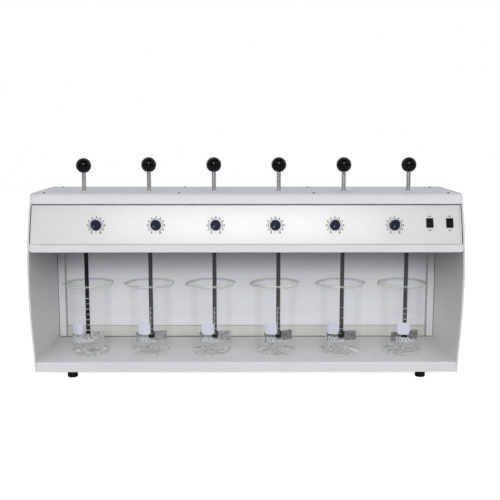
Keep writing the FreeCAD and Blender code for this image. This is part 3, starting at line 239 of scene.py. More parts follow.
# %% The Finish class
class Finish:
    """A material under construction, with the links that most finishes need."""

    def __init__(self, name, **values):
        """Sets the shader's sockets to values. Their names have _ in place of a space."""
        self.material = bpy.data.materials.new(name)
        self.material.use_nodes = True
        self.tree = self.material.node_tree
        self.shader = self.tree.nodes["Principled BSDF"]
        for socket, value in values.items():
            self.shader.inputs[socket.replace("_", " ")].default_value = value
        self.place = self.node("ShaderNodeTexCoord").outputs["Object"]

    def node(self, kind, **settings):
        """A new node with some of its settings changed."""
        made = self.tree.nodes.new(kind)
        for setting, value in settings.items():
            setattr(made, setting, value)
        return made

    def join(self, output, target):
        self.tree.links.new(output, target)

    def grain(self, scale, detail=2.0, stretch=(1, 1, 1)):
        """Noise with about scale blotches to the metre, stretched where stretch is small."""
        mapping = self.node("ShaderNodeMapping")
        mapping.inputs["Scale"].default_value = stretch
        noise = self.node("ShaderNodeTexNoise")
        noise.inputs["Scale"].default_value = scale
        noise.inputs["Detail"].default_value = detail
        self.join(self.place, mapping.inputs["Vector"])
        self.join(mapping.outputs["Vector"], noise.inputs["Vector"])
        return noise.outputs["Fac"]

    def span(self, amount, low, high, start=0.3, end=0.7):
        """A number that goes from low to high as amount goes from start to end."""
        return ramp(self.tree, amount, start, end, low, high)

    def axis(self, letter):
        """Place along X, Y or Z, in metres."""
        split = self.node("ShaderNodeSeparateXYZ")
        self.join(self.place, split.inputs["Vector"])
        return split.outputs[letter]

    def height(self):
        """Height above the bench, in metres."""
        return self.axis("Z")

    def off_centre(self):
        """Distance from the machine's middle plane, in metres."""
        distance = self.node("ShaderNodeMath", operation="ABSOLUTE")
        self.join(self.axis("X"), distance.inputs[0])
        return distance.outputs[0]

    def combined(self, operation, first, second):
        """One operation on two numbers."""
        made = self.node("ShaderNodeMath", operation=operation)
        self.join(first, made.inputs[0])
        self.join(second, made.inputs[1])
        return made.outputs[0]

    def larger(self, first, second):
        return self.combined("MAXIMUM", first, second)

    def times(self, first, second):
        return self.combined("MULTIPLY", first, second)

    def blend(self, share, first, second):
        """The first colour where share is 0, the second where it is 1. Each may vary by itself."""
        mix = self.node("ShaderNodeMix", data_type="RGBA")
        self.join(share, mix.inputs["Factor"])
        for colour, socket in ((first, mix.inputs["A"]), (second, mix.inputs["B"])):
            if isinstance(colour, tuple):
                socket.default_value = (*colour, 1)
            else:
                self.join(colour, socket)
        return mix.outputs["Result"]

    def colours(self, amount, dark, light, start=0.3, end=0.7):
        """A colour between two, picked by amount."""
        return self.blend(self.span(amount, 0, 1, start, end), dark, light)

    def paint(self, colour):
        """Makes this the surface's colour."""
        self.join(colour, self.shader.inputs["Base Color"])

    def polish(self, amount, low, high):
        """Roughness that wanders between low and high."""
        self.join(self.span(amount, low, high), self.shader.inputs["Roughness"])

    def relief(self, amount, height):
        """Bump of about that height in metres."""
        bump = self.node("ShaderNodeBump")
        bump.inputs["Distance"].default_value = height
        self.join(amount, bump.inputs["Height"])
        self.join(bump.outputs["Normal"], self.shader.inputs["Normal"])


def dress(finish, *names):
    """Gives the named parts a finish in all their material slots."""
    for name in names:
        for slot in nodes[name].material_slots:
            slot.material = finish.material
    print(finish.material.name, "on", len(names), "parts")


# %% [markdown]
# ## The case
#
# The case is folded steel under a pale grey powder coat. Powder melts into a skin
# with a faint orange peel about a millimetre across, so the relief is fine and low.
# The shelf and the walls of the bay are wiped clean often, which leaves them glossier
# than the outside. The walls are painted palest near the shelf and darker above, as
# the shade that the head casts into the bay.

# %% Powder coat for the case
case_coat = Finish("case_coat", Specular_IOR_Level=0.25)
case_coat.paint(case_coat.colours(case_coat.grain(4, 4), (0.640, 0.638, 0.652), (0.665, 0.663, 0.675)))
case_coat.polish(case_coat.grain(30, 4), 0.38, 0.48)
case_coat.relief(case_coat.grain(900, 1), 0.00003)
dress(case_coat, "top_cover", "rear_cover")

# %% A glossier coat for the shelf and the side walls
shelf_coat = Finish("shelf_coat")
shelf_coat.paint(shelf_coat.colours(shelf_coat.grain(5, 4), (0.82, 0.825, 0.815), (0.86, 0.86, 0.86)))
shelf_coat.polish(shelf_coat.grain(22, 5), 0.06, 0.15)
shelf_coat.relief(shelf_coat.grain(500, 1), 0.000012)
dress(shelf_coat, "base_tray")

SHADED_ABOVE, LIT_BELOW = 0.27, 0.09
# painted shade: the side walls darker towards the head, palest near the shelf
wall_coat = Finish("wall_coat")
lit_share = wall_coat.span(wall_coat.height(), 0, 1, SHADED_ABOVE, LIT_BELOW)
unlit_wall = wall_coat.colours(wall_coat.grain(4, 4), (0.58, 0.585, 0.56), (0.62, 0.62, 0.60))
lit_wall = wall_coat.colours(wall_coat.grain(4, 4), (0.80, 0.81, 0.78), (0.84, 0.845, 0.82))
wall_coat.paint(wall_coat.blend(lit_share, unlit_wall, lit_wall))
wall_coat.polish(wall_coat.grain(18, 5), 0.29, 0.37)
wall_coat.relief(wall_coat.grain(600, 1), 0.000015)
dress(wall_coat, "side_panel_left", "side_panel_right")

# %% [markdown]
# The underside of the head is painted near black, as the shade that falls under it,
# which also keeps it from throwing light onto the back of the bay. The Geometry
# node's normal tells which way a face looks: its Z is close to -1 on an underside.

# %% Painted shade under the head
head_coat = Finish("head_coat", Specular_IOR_Level=0.25)
look = head_coat.node("ShaderNodeSeparateXYZ")
head_coat.join(head_coat.node("ShaderNodeNewGeometry").outputs["True Normal"], look.inputs["Vector"])
coated = head_coat.span(look.outputs["Z"], 0, 1, -0.9, -0.6)
# painted shade: near black on the faces that look down
underside_shade = head_coat.colours(head_coat.grain(9, 4), (0.09, 0.09, 0.09), (0.15, 0.15, 0.15))
powder = head_coat.colours(head_coat.grain(4, 4), (0.635, 0.625, 0.635), (0.66, 0.65, 0.66))
head_coat.paint(head_coat.blend(coated, underside_shade, powder))
head_coat.polish(head_coat.grain(30, 4), 0.38, 0.48)
head_coat.relief(head_coat.grain(900, 1), 0.00003)
dress(head_coat, "head_tray")

# %% [markdown]
# The control panel is a plate of its own. Its paint is a little darker than the case's
# but mirrors more, and its sheen makes it the lighter of the two under the front lamps.
# It is smooth to the touch, so its relief is lower and its gloss more even.

# %% Smooth paint for the control panel
panel_coat = Finish("panel_coat", Specular_IOR_Level=1.0)
panel_coat.paint(panel_coat.colours(panel_coat.grain(3, 3), (0.565, 0.575, 0.56), (0.59, 0.60, 0.585)))
panel_coat.polish(panel_coat.grain(25, 3), 0.285, 0.31)
panel_coat.relief(panel_coat.grain(1200, 1), 0.000015)
dress(panel_coat, "control_panel")

# %% [markdown]
# ## The back of the bay
#
# An opal acrylic sheet closes the back of the bay, so that the floating flocs can be
# seen against an even light. Acrylic is glossy, faintly violet where it is thick, and
# lets a little light into its skin, which is what subsurface does. Towards the top
# edge, under the head, its colour is painted greyer, as the shade that the head casts.
#
# The frame round it has a rail along the bottom with a cream band. Its other parts
# have the sheet's colour, with the same painted shade under the head, so the one
# finish picks between the two by place: opal above the band's top, and opal in the
# strips at both ends.

# %% Opal acrylic
OPAL = (0.93, 0.925, 0.965), (0.95, 0.945, 0.98)
# painted shade: the grey that the opal turns under the head
HEAD_SHADE_GREY = (0.52, 0.52, 0.535)
HEAD_SHADE_HEIGHTS = (0.205, 0.262)


def thin_out(finish, colour):
    """The colour with painted shade: greyer towards the top of the bay, under the head."""
    in_head_shade = finish.span(finish.height(), 0, 1, *HEAD_SHADE_HEIGHTS)
    return finish.blend(in_head_shade, colour, HEAD_SHADE_GREY)


opal = Finish("opal_acrylic", Subsurface_Weight=0.15, Subsurface_Scale=0.004)
opal.paint(thin_out(opal, opal.colours(opal.grain(3, 3), *OPAL)))
opal.polish(opal.grain(9, 3), 0.03, 0.07)
opal.relief(opal.grain(10, 1), 0.00002)
dress(opal, "light_diffuser")

# %% Cream enamel below, opal above
SHELF_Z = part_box("base_tray")[1].z
FRAME_LOW, FRAME_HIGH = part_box("diffuser_frame")
BAND_TOP = 0.069
STRIP = 0.0157
STRIP_INNER = FRAME_HIGH.x - STRIP
BAND_EDGE, STRIP_EDGE = 0.001, 0.0002  # how far the two colours run into each other

rail_coat = Finish("rail_enamel")
cream = rail_coat.colours(rail_coat.grain(8, 3), (0.74, 0.74, 0.70), (0.79, 0.785, 0.75))
above = thin_out(rail_coat, rail_coat.colours(rail_coat.grain(8, 3), *OPAL))
over_band = rail_coat.span(rail_coat.height(), 0, 1, BAND_TOP, BAND_TOP + BAND_EDGE)
in_strip = rail_coat.span(rail_coat.off_centre(), 0, 1, STRIP_INNER, STRIP_INNER + STRIP_EDGE)
rail_coat.paint(rail_coat.blend(rail_coat.larger(over_band, in_strip), cream, above))
rail_coat.polish(rail_coat.grain(40, 3), 0.29, 0.36)
rail_coat.relief(rail_coat.grain(700, 1), 0.00002)
dress(rail_coat, "diffuser_frame")

# %% [markdown]
# ## Steel
#
# The stirrer shafts are ground rod: the grinding leaves fine rings round the shaft,
# so the noise is squeezed along Z, and Anisotropic draws every highlight out along Z.
# Below the head they carry a dark coating that keeps them from rusting in the
# beakers, and the bare steel shows above it. The first has been coated afresh and is
# nearly black.

# %% Ground steel with a coated lower part
COATED_UP_TO = 0.355
COATING_FADES = 0.003


def ground_rod(name, dark, light):
    """Shaft finish: a coating between two greys below the head, and bare steel above."""
    rod = Finish(name, Metallic=0.7, Anisotropic=0.8, Anisotropic_Rotation=0.25)
    rings = rod.grain(60, 3, (1, 1, 40))
    bare = rod.span(rod.height(), 0, 1, COATED_UP_TO, COATED_UP_TO + COATING_FADES)
    steel = rod.colours(rings, (0.38, 0.38, 0.40), (0.50, 0.50, 0.51))
    rod.paint(rod.blend(bare, rod.colours(rings, dark, light), steel))
    rod.polish(rings, 0.285, 0.38)
    rod.relief(rings, 0.000005)
    return rod


dress(ground_rod("blacked_rod", (0.012, 0.013, 0.014), (0.03, 0.03, 0.032)), "stirrer_shaft_1")
dress(ground_rod("coated_rod", (0.07, 0.071, 0.066), (0.13, 0.13, 0.122)),
      *["stirrer_shaft_%d" % n for n in STATIONS[1:]])

# %% [markdown]
# Each paddle has its own tone and a strong mottle, which paint in the reflections it
# shows through the glass: the first mirrors the bright room and is the lightest. The
# hub is painted almost black. It is found by its distance from the shaft's axis, which
# is the length of the place vector once Z has been taken out. The lowest part of a hub
# is as bright as the sheet, so that height has a say as well.

# %% Rolled sheet for the paddles
PADDLE_REFLECTION_TONES = {1: 0.64, 2: 0.50, 3: 0.51, 4: 0.36, 5: 0.34, 6: 0.36}
HUB_RADIUS, HUB_RADIUS_EDGE = 0.0078, 0.0004
HUB_ENDS, USUAL_HUB_END, HUB_END_EDGE = {1: 0.0521}, 0.0392, 0.001  # above the shelf


def paddle_sheet(station, tone):
    """Sheet mottled with painted reflections about as bright as tone, with a dark hub round a station's
    shaft.
    """
    sheet = Finish("mill_sheet_%d" % station, Metallic=0.6)
    x, y, _ = joints["spindle_%d_spin" % station]["pos_m"]
    from_axis = sheet.node("ShaderNodeMapping")
    from_axis.inputs["Location"].default_value = (-x, -y, 0)
    from_axis.inputs["Scale"].default_value = (1, 1, 0)
    sheet.join(sheet.place, from_axis.inputs["Vector"])
    reach = sheet.node("ShaderNodeVectorMath", operation="LENGTH")
    sheet.join(from_axis.outputs["Vector"], reach.inputs[0])
    outside = sheet.span(reach.outputs["Value"], 0, 1, HUB_RADIUS, HUB_RADIUS + HUB_RADIUS_EDGE)
    hub_end = SHELF_Z + HUB_ENDS.get(station, USUAL_HUB_END)
    under = sheet.span(sheet.height(), 0, 1, hub_end, hub_end - HUB_END_EDGE)
    hub_tone = 0.08 * tone
    hub = sheet.colours(sheet.grain(90, 3), (0.5 * hub_tone,) * 3, (hub_tone,) * 3)
    light = (1.18 * tone, 1.17 * tone, 1.14 * tone)
    # painted reflection: the mottle and each paddle's tone
    reflection_mottle = sheet.colours(sheet.grain(160, 5), (0.62 * tone,) * 3, light, 0.38, 0.62)
    sheet.paint(sheet.blend(sheet.larger(outside, under), hub, reflection_mottle))
    sheet.polish(sheet.grain(160, 4), 0.28, 0.5)
    sheet.relief(sheet.grain(400, 3), 0.00002)
    return sheet


for n, tone in PADDLE_REFLECTION_TONES.items():
    dress(paddle_sheet(n, tone), "paddle_%d" % n)

# %% Plain machined steel for the spindles and bearings
machined = Finish("machined_steel", Metallic=1.0)
turning = machined.grain(50, 3, (1, 1, 30))
machined.paint(machined.colours(turning, (0.40, 0.40, 0.41), (0.55, 0.55, 0.56)))
machined.polish(turning, 0.29, 0.4)
dress(machined, "spindle_bearings", *["drive_spindle_%d" % n for n in STATIONS])

# %% [markdown]
# ## Black parts
#
# Phenolic balls are polished to a deep gloss. Knobs and switches are moulded nylon,
# which shows a fine spark texture. Rubber feet are matt and a little dusty. Black
# surfaces look wrong when they are pure black, so each keeps a trace of colour.

# %% Moulded and polished blacks
knob_nylon = Finish("knob_nylon", Specular_IOR_Level=0.07)
nylon_dark, nylon_light = (0.005, 0.007, 0.017), (0.012, 0.016, 0.032)
knob_nylon.paint(knob_nylon.colours(knob_nylon.grain(300, 3), nylon_dark, nylon_light))
knob_nylon.polish(knob_nylon.grain(500, 2), 0.28, 0.42)
knob_nylon.relief(knob_nylon.grain(2500, 1), 0.00002)
dress(knob_nylon, *["speed_knob_%d" % n for n in STATIONS])

switch_black = Finish("switch_black", Specular_IOR_Level=0.35)
switch_black.paint(switch_black.colours(switch_black.grain(200, 3), (0.003,) * 3, (0.008, 0.008, 0.01)))
switch_black.polish(switch_black.grain(300, 2), 0.16, 0.26)
switch_black.relief(switch_black.grain(3000, 1), 0.00001)
dress(switch_black, "switch_housings", "lamp_rocker", "mains_rocker", "mains_inlet")

foot_rubber = Finish("foot_rubber", Specular_IOR_Level=0.12)
foot_rubber.paint(foot_rubber.colours(foot_rubber.grain(120, 5), (0.003,) * 3, (0.009,) * 3))
foot_rubber.polish(foot_rubber.grain(90, 3), 0.6, 0.85)
foot_rubber.relief(foot_rubber.grain(1500, 2), 0.00008)
dress(foot_rubber, "rubber_feet")

screw_black = Finish("screw_black", Metallic=0.6)
screw_dark, screw_light = (0.008, 0.008, 0.010), (0.025, 0.025, 0.03)
screw_black.paint(screw_black.colours(screw_black.grain(400, 3), screw_dark, screw_light))
screw_black.polish(screw_black.grain(400, 2), 0.3, 0.45)
screw_black.relief(screw_black.grain(2000, 2), 0.00001)
dress(screw_black, "cover_screws")

bush_nylon = Finish("bush_nylon", Subsurface_Weight=0.1, Subsurface_Scale=0.002)
bush_nylon.paint(bush_nylon.colours(bush_nylon.grain(150, 3), (0.55, 0.55, 0.58), (0.63, 0.63, 0.66)))
bush_nylon.polish(bush_nylon.grain(200, 2), 0.35, 0.5)
dress(bush_nylon, "shaft_bushes")

# %% [markdown]
# ## Inside the head
#
# The covers hide the drive, but a part that is opened in a viewer should still look
# right. The lamp, its holders, the motors, the controls and the board get finishes
# that tell them apart.

# %% Finishes for the hidden parts
HIDDEN = [  # part, finish, dark and light colour, blotches to the metre, roughness, share of metal
    ("motor_housings", "cast_alloy", (0.38, 0.38, 0.39), (0.5, 0.5, 0.51), 90, (0.4, 0.55), 0.9),
    ("stator_rings", "varnished_iron", (0.06, 0.05, 0.045), (0.12, 0.1, 0.09), 120, (0.4, 0.6), 0.4),
    ("cover_rail", "zinc_plate", (0.42, 0.42, 0.40), (0.55, 0.55, 0.50), 60, (0.3, 0.5), 0.9),
    ("speed_potentiometers", "control_body", (0.10, 0.10, 0.11), (0.18, 0.18, 0.19), 150, (0.35, 0.55), 0),
    ("control_board", "circuit_board", (0.01, 0.07, 0.025), (0.02, 0.13, 0.05), 140, (0.3, 0.5), 0),
    ("lamp_tube", "phosphor_tube", (0.8, 0.8, 0.8), (0.9, 0.9, 0.9), 60, (0.2, 0.26), 0),
    ("lamp_holders", "white_moulding", (0.68, 0.68, 0.66), (0.76, 0.76, 0.74), 80, (0.35, 0.5), 0),
]

for part, name, dark, light, scale, rough, metal in HIDDEN:
    made = Finish(name, Metallic=metal)
    made.paint(made.colours(made.grain(scale, 4), dark, light))
    made.polish(made.grain(scale * 2, 3), *rough)
    made.relief(made.grain(scale * 6, 2), 0.00002)
    dress(made, part)

# %% [markdown]
# ## Making a piece
#
# The pieces below are modelled as a bmesh at their final place. One function turns a
# bmesh into a named object, smooths it up to a crease angle, and ties it to the body
# that it moves with.

# %% From bmesh to piece
def new_piece(name, shape, finish, body, crease=32):
    """Object with its place in its mesh, riding on a body of the machine."""
    bmesh.ops.recalc_face_normals(shape, faces=shape.faces)
    mesh = new_mesh(name, shape)
    mesh.materials.append(finish.material)
    mesh.shade_smooth()
    mesh.set_sharp_from_angle(angle=math.radians(crease))
    piece = bpy.data.objects.new(name, mesh)
    bpy.context.scene.collection.objects.link(piece)
    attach(piece, body)
    return piece


def move(shape, matrix):
    bmesh.ops.transform(shape, matrix=matrix, verts=shape.verts)


# %% [markdown]
# ## Dark seals in the bay that paint shade
#
# Thin dark strips, shaped like rubber seals, paint the shade where the back of the bay
# meets the shelf, over the step of the rail and in the gaps beside the walls. A paler
# grey bead down each strip's inner edge paints the shadow that the strip casts, and a
# pale filler closes the rest of each gap. All are long bars, each a cube that is scaled
# to its corners. They are sunk a little into what they lie on, so that no light shows
# under them.

# %% Fit the seals that paint shade
def bar(shape, low, high):
    """Adds a box between two corners to a shape."""
    centre = [(a + b) / 2 for a, b in zip(low, high)]
    size = [b - a for a, b in zip(low, high)]
    place = Matrix.Translation(centre) @ Matrix.Diagonal((*size, 1))
    bmesh.ops.create_cube(shape, size=1, matrix=place)


# painted shade: dark rubber for the lines of shade along the shelf and the rail's step
shade_seal_rubber = Finish("shade_seal_rubber", Specular_IOR_Level=0.3)
shade_seal_rubber.paint(shade_seal_rubber.colours(shade_seal_rubber.grain(90, 4), (0.20, 0.20, 0.19), (0.28, 0.28, 0.265)))
shade_seal_rubber.polish(shade_seal_rubber.grain(200, 3), 0.5, 0.7)
shade_seal_rubber.relief(shade_seal_rubber.grain(900, 2), 0.00003)

# painted shadow: grey for the shadow that each strip casts
shadow_bead_grey = Finish("shadow_bead_grey", Specular_IOR_Level=0.3)
shadow_bead_grey.paint(shadow_bead_grey.colours(shadow_bead_grey.grain(90, 4), (0.40, 0.40, 0.385), (0.50, 0.50, 0.48)))
shadow_bead_grey.polish(shadow_bead_grey.grain(200, 3), 0.4, 0.6)

RAIL_STEP = 0.002
SUNK, STRIP_SUNK = 0.0002, 0.0014
SHELF_SHADE_SEAL = (0.0012, 0.0017)  # how far it stands out, and its height
STEP_SHADE_SEAL = (0.0008, 0.0009)
WALL_GAP, GAP_SHADE_SEAL, GAP_SHADE_SEAL_SET_BACK = 0.0028, 0.0011, 0.0003
STOPS_SHORT = 0.001  # of the frame's top
BEAD, BEAD_STANDS_OUT, BEAD_OVERLAP = 0.0050, 0.0005, 0.0008

band, step = FRAME_LOW.y, FRAME_LOW.y + RAIL_STEP
top = FRAME_HIGH.z - STOPS_SHORT
shade_seals, gap_shade_seals, shadow_beads, fillers = bmesh.new(), bmesh.new(), bmesh.new(), bmesh.new()
bar(shade_seals, (FRAME_LOW.x, band - SHELF_SHADE_SEAL[0], SHELF_Z),
    (FRAME_HIGH.x, band + SUNK, SHELF_Z + SHELF_SHADE_SEAL[1]))
bar(shade_seals, (-STRIP_INNER, step - STEP_SHADE_SEAL[0], BAND_TOP),
    (STRIP_INNER, step + SUNK, BAND_TOP + STEP_SHADE_SEAL[1]))
for side, end in ((-1, FRAME_LOW.x), (1, FRAME_HIGH.x)):
    wall = end + side * WALL_GAP
    left, right = sorted((wall, wall - side * GAP_SHADE_SEAL))
    bar(gap_shade_seals, (left, band + GAP_SHADE_SEAL_SET_BACK, SHELF_Z), (right, step + STRIP_SUNK, top))
    left, right = sorted((end, wall - side * GAP_SHADE_SEAL))
    bar(fillers, (left, band + SUNK, SHELF_Z), (right, step + STRIP_SUNK, top))
    bead = side * (STRIP_INNER + BEAD_OVERLAP)
    left, right = sorted((bead, bead - side * BEAD))
    bar(shadow_beads, (left, step - BEAD_STANDS_OUT, BAND_TOP), (right, step + STRIP_SUNK, top))
    bar(shadow_beads, (left, band - BEAD_STANDS_OUT, SHELF_Z), (right, band + SUNK, BAND_TOP))

new_piece("bay_shade_seals", shade_seals, shade_seal_rubber, "root")
# painted shade: near-black strips in the gaps beside the walls
new_piece("gap_shade_seals", gap_shade_seals, foot_rubber, "root")
new_piece("bay_shadow_beads", shadow_beads, shadow_bead_grey, "root")
new_piece("gap_fillers", fillers, rail_coat, "root")
print("seals, beads and fillers")

# %% [markdown]
# ## The beakers
#
# A beaker is drawn from tube: flat base with a round corner, straight wall, and a
# rim that flares and ends in a fire-polished bead. In Blender it is an outline spun
# round its axis. Glass needs a real wall, so the outline goes up the outside, over
# the bead and down the inside. The spout is pulled out of the rim afterwards, as the
# glass worker does, by moving the rim's points outwards and down near one direction.
#
# Thin clean glass shows little but its thick parts, so the material lets most of what
# is behind it through unbent, and less at the rim and the base. The base is patchy, as
# blown glass is, and its patches and pale opaque blobs are painted glints. The bead
# of the rim is tinted by place: dark on the far side, as painted shade, and pale and
# partly opaque on the near side, as a painted highlight. Rays towards the lamps pass
# through a plain Transparent shader, or the beakers would stand in dark shadows.

# %% Borosilicate glass
WALL_SHOWS, EDGE_SHOWS = 0.02, 0.9
RIM_BEGINS, RIM_FULL = SHELF_Z + 0.168, SHELF_Z + 0.1735
FOOT_FULL, FOOT_ENDS = SHELF_Z + 0.002, SHELF_Z + 0.007
BEAKER_SETBACK = 0.007
BEAKER_Y = joints["spindle_1_spin"]["pos_m"][1] + BEAKER_SETBACK
NEAR_BEFORE, FAR_BEHIND = BEAKER_Y - 0.030, BEAKER_Y + 0.010

glass = Finish("borosilicate", IOR=1.47)
height = glass.height()
rim = glass.span(height, 0, 1, RIM_BEGINS, RIM_FULL)
foot = glass.span(height, 1, 0, FOOT_FULL, FOOT_ENDS)
patchy = glass.span(glass.grain(75, 1), 0.15, 0.95, 0.42, 0.56)
thick = glass.larger(rim, glass.times(foot, patchy))
glass.join(glass.span(thick, WALL_SHOWS, EDGE_SHOWS, 0, 1), glass.shader.inputs["Alpha"])

# painted light: pale near rim as a highlight, dark far rim as shade, pale blobs on the foot as glints
near = glass.span(glass.axis("Y"), 1, 0, NEAR_BEFORE, FAR_BEHIND)
painted_light_rim = glass.times(glass.times(rim, near), glass.span(glass.grain(45, 3), 0.1, 0.6))
painted_light_foot = glass.times(foot, glass.span(glass.grain(85, 1), 0, 1, 0.5, 0.58))
painted_light = glass.larger(painted_light_rim, painted_light_foot)
glass.join(glass.span(painted_light, 1, 0, 0, 1), glass.shader.inputs["Transmission Weight"])
light_and_shade_tint = glass.colours(glass.larger(near, foot), (0.66, 0.68, 0.62), (0.95, 0.98, 0.89), 0, 1)
glass.paint(glass.blend(glass.span(thick, 0, 1, 0, 1), (0.985, 0.99, 0.985), light_and_shade_tint))
glass.polish(glass.grain(18, 4), 0.0, 0.035)
glass.relief(glass.grain(65, 1), 0.0012)
clear = glass.node("ShaderNodeBsdfTransparent")
clear.inputs["Color"].default_value = (0.965, 0.975, 0.965, 1)
lets_light = glass.node("ShaderNodeMixShader")
glass.join(any_ray(glass.tree, "Is Shadow Ray"), lets_light.inputs[0])
glass.join(glass.shader.outputs[0], lets_light.inputs[1])
glass.join(clear.outputs[0], lets_light.inputs[2])
glass.join(lets_light.outputs[0], glass.tree.nodes["Material Output"].inputs["Surface"])

# %% The outline of a one-litre beaker, in millimetres
BEAKER_OUTLINE = [  # distance from the axis, and height: up the outside and down the inside
    (0, 1.2), (28, 0.9), (37, 0.3), (43, 0.9), (48.6, 4.2), (52.0, 10.0), (53, 18), (53, 85),
    (53, 152), (53.3, 160), (54.5, 166), (56.6, 171), (58.6, 173.6), (59.4, 174.8), (58.6, 175.4),
    (57.0, 174.6), (55.0, 172.4), (52.9, 167.6), (51.5, 161), (51.1, 153), (51.0, 85), (50.9, 18),
    (49.8, 11.5), (46.6, 7.0), (42.0, 4.6), (36, 3.8), (28, 3.6), (0, 3.7),
]
RIM_HEIGHT = 0.175  # in metres, like every number outside the outline
SPOUT_START = 0.146
SPOUT_HALF_ANGLE = math.radians(29)
SPOUT_DROOP = 0.0035


def spin_outline(outline, steps):
    """Closed shape from an outline in millimetres, spun round Z. Its ends lie on the axis."""
    shape = bmesh.new()
    points = [shape.verts.new((r / 1000, 0, z / 1000)) for r, z in outline]
    for first, second in zip(points, points[1:]):
        shape.edges.new((first, second))
    bmesh.ops.spin(shape, geom=shape.verts[:] + shape.edges[:], cent=(0, 0, 0), axis=(0, 0, 1),
                   angle=math.tau, steps=steps, use_merge=True)
    bmesh.ops.remove_doubles(shape, verts=shape.verts, dist=0.00001)
    bmesh.ops.recalc_face_normals(shape, faces=shape.faces)
    return shape


def pull_spout(shape):
    """Draws the rim out along +X between the two straight lines of a pouring lip."""
    for point in shape.verts:
        rise = (point.co.z - SPOUT_START) / (RIM_HEIGHT - SPOUT_START)
        turn = abs(math.atan2(point.co.y, point.co.x))
        if rise <= 0 or turn >= SPOUT_HALF_ANGLE:
            continue
        pull = rise ** 2 * (1 / math.cos(SPOUT_HALF_ANGLE - turn) - 1)
        point.co.xy *= 1 + pull
        point.co.z -= SPOUT_DROOP * rise ** 3 * (1 - turn / SPOUT_HALF_ANGLE) ** 2


# %% [markdown]
# The beakers stand where a user would leave them: none quite central under its
# paddle, and each with its spout more or less to the left.

# %% Stand six beakers on the shelf
BEAKER_OFFSETS = (0.0046, -0.0025, -0.0078, -0.0064, -0.0020, -0.0067)
SPOUT_ANGLES = (182, 178, 196, 194, 180, 192)
BEAKER_X = [joints["spindle_%d_spin" % n]["pos_m"][0] + BEAKER_OFFSETS[n - 1] for n in STATIONS]

for n, x, turn in zip(STATIONS, BEAKER_X, SPOUT_ANGLES):
    shape = spin_outline(BEAKER_OUTLINE, 48)
    pull_spout(shape)
    place = Matrix.Translation((x, BEAKER_Y, SHELF_Z)) @ Matrix.Rotation(math.radians(turn), 4, "Z")
    move(shape, place)
    vessel = new_piece("glass_beaker_%d" % n, shape, glass, "root", 180)
    smooth = vessel.modifiers.new("fire_polish", "SUBSURF")
    smooth.levels = smooth.render_levels = 2
    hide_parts("beaker_%d" % n)
print("six beakers of", len(vessel.data.polygons), "faces")

# %% [markdown]
# ## Print on the glass
#
# Beakers carry a fired white enamel print: a patch to write on, the volume, and a
# ladder of graduations. Print is modelled flat, with a real but tiny thickness, and
# then wrapped round the glass by turning its width into an angle. A face can only
# bend where it has points, so the flat print is first sliced into narrow columns.

# %% White enamel
enamel = Finish("white_enamel")
enamel.paint(enamel.colours(enamel.grain(350, 4), (0.60, 0.63, 0.70), (0.68, 0.71, 0.78)))
enamel.polish(enamel.grain(300, 3), 0.45, 0.65)
enamel.relief(enamel.grain(1500, 2), 0.00003)
PRINT = 0.00004


# %% Flat print, sliced and wrapped
def lettering(text, size, thickness=PRINT, bold=0.0):
    """Words as a thin solid, centred on the origin, facing +Z. bold thickens the strokes."""
    curve = bpy.data.curves.new("lettering", "FONT")
    curve.body = text
    curve.size = size
    curve.extrude = thickness / 2
    curve.offset = bold
    curve.align_x = "CENTER"
    curve.align_y = "CENTER"
    holder = bpy.data.objects.new("lettering", curve)
    mesh = bpy.data.meshes.new_from_object(holder)
    shape = bmesh.new()
    shape.from_mesh(mesh)
    bpy.data.meshes.remove(mesh)
    bpy.data.objects.remove(holder)
    bpy.data.curves.remove(curve)
    bmesh.ops.remove_doubles(shape, verts=shape.verts, dist=0.000001)
    return shape


def thicken(shape, thickness):
    """Gives flat faces a thickness, upwards from where they lie."""
    raised = bmesh.ops.extrude_face_region(shape, geom=shape.faces[:])["geom"]
    tops = [part for part in raised if isinstance(part, bmesh.types.BMVert)]
    bmesh.ops.translate(shape, verts=tops, vec=(0, 0, thickness))


def plate(width, height, corner=0.0, thickness=PRINT):
    """Thin rectangle with rounded corners, centred on the origin and facing +Z."""
    shape = bmesh.new()
    bmesh.ops.create_grid(shape, x_segments=1, y_segments=1, size=0.5)
    bmesh.ops.scale(shape, vec=(width, height, 1), verts=shape.verts)
    if corner:
        bmesh.ops.bevel(shape, geom=shape.verts[:], affect="VERTICES", offset=corner, segments=6,
                        profile=0.5, material=-1)
    thicken(shape, thickness)
    bmesh.ops.translate(shape, verts=shape.verts, vec=(0, 0, -thickness / 2))
    return shape


def add(shape, part, matrix):
    """Adds a part to a shape at a place, and frees the part."""
    mesh = new_mesh("part", part)
    mesh.transform(matrix)
    shape.from_mesh(mesh)
    bpy.data.meshes.remove(mesh)


def slice_flat(shape, point, normal):
    """Cuts a shape's faces along a plane and keeps both sides."""
    bmesh.ops.bisect_plane(shape, geom=shape.verts[:] + shape.edges[:] + shape.faces[:],
                           plane_co=point, plane_no=normal)


def wrap(shape, radius, centre, turn, step=0.002):
    """Bends flat print round an upright cylinder. turn is its place, counted from the front."""
    edges = [point.co.x for point in shape.verts]
    cut = math.floor(min(edges) / step) * step
    while cut < max(edges):
        slice_flat(shape, (cut, 0, 0), (1, 0, 0))
        cut += step
    for point in shape.verts:
        angle = turn + point.co.x / radius
        reach = radius + point.co.z
        point.co = Vector((centre.x + reach * math.sin(angle), centre.y - reach * math.cos(angle),
                           centre.z + point.co.y))


# %% [markdown]
# The ladder has a line every hundred millilitres, which is 13 mm on this glass, and
# every other one is longer. On four beakers a thin upright line joins them at the
# patch's side. The first and the last come from another batch, with bolder lines that
# are centred. The volume stands below the patch, and plain numbers beside the ladder.

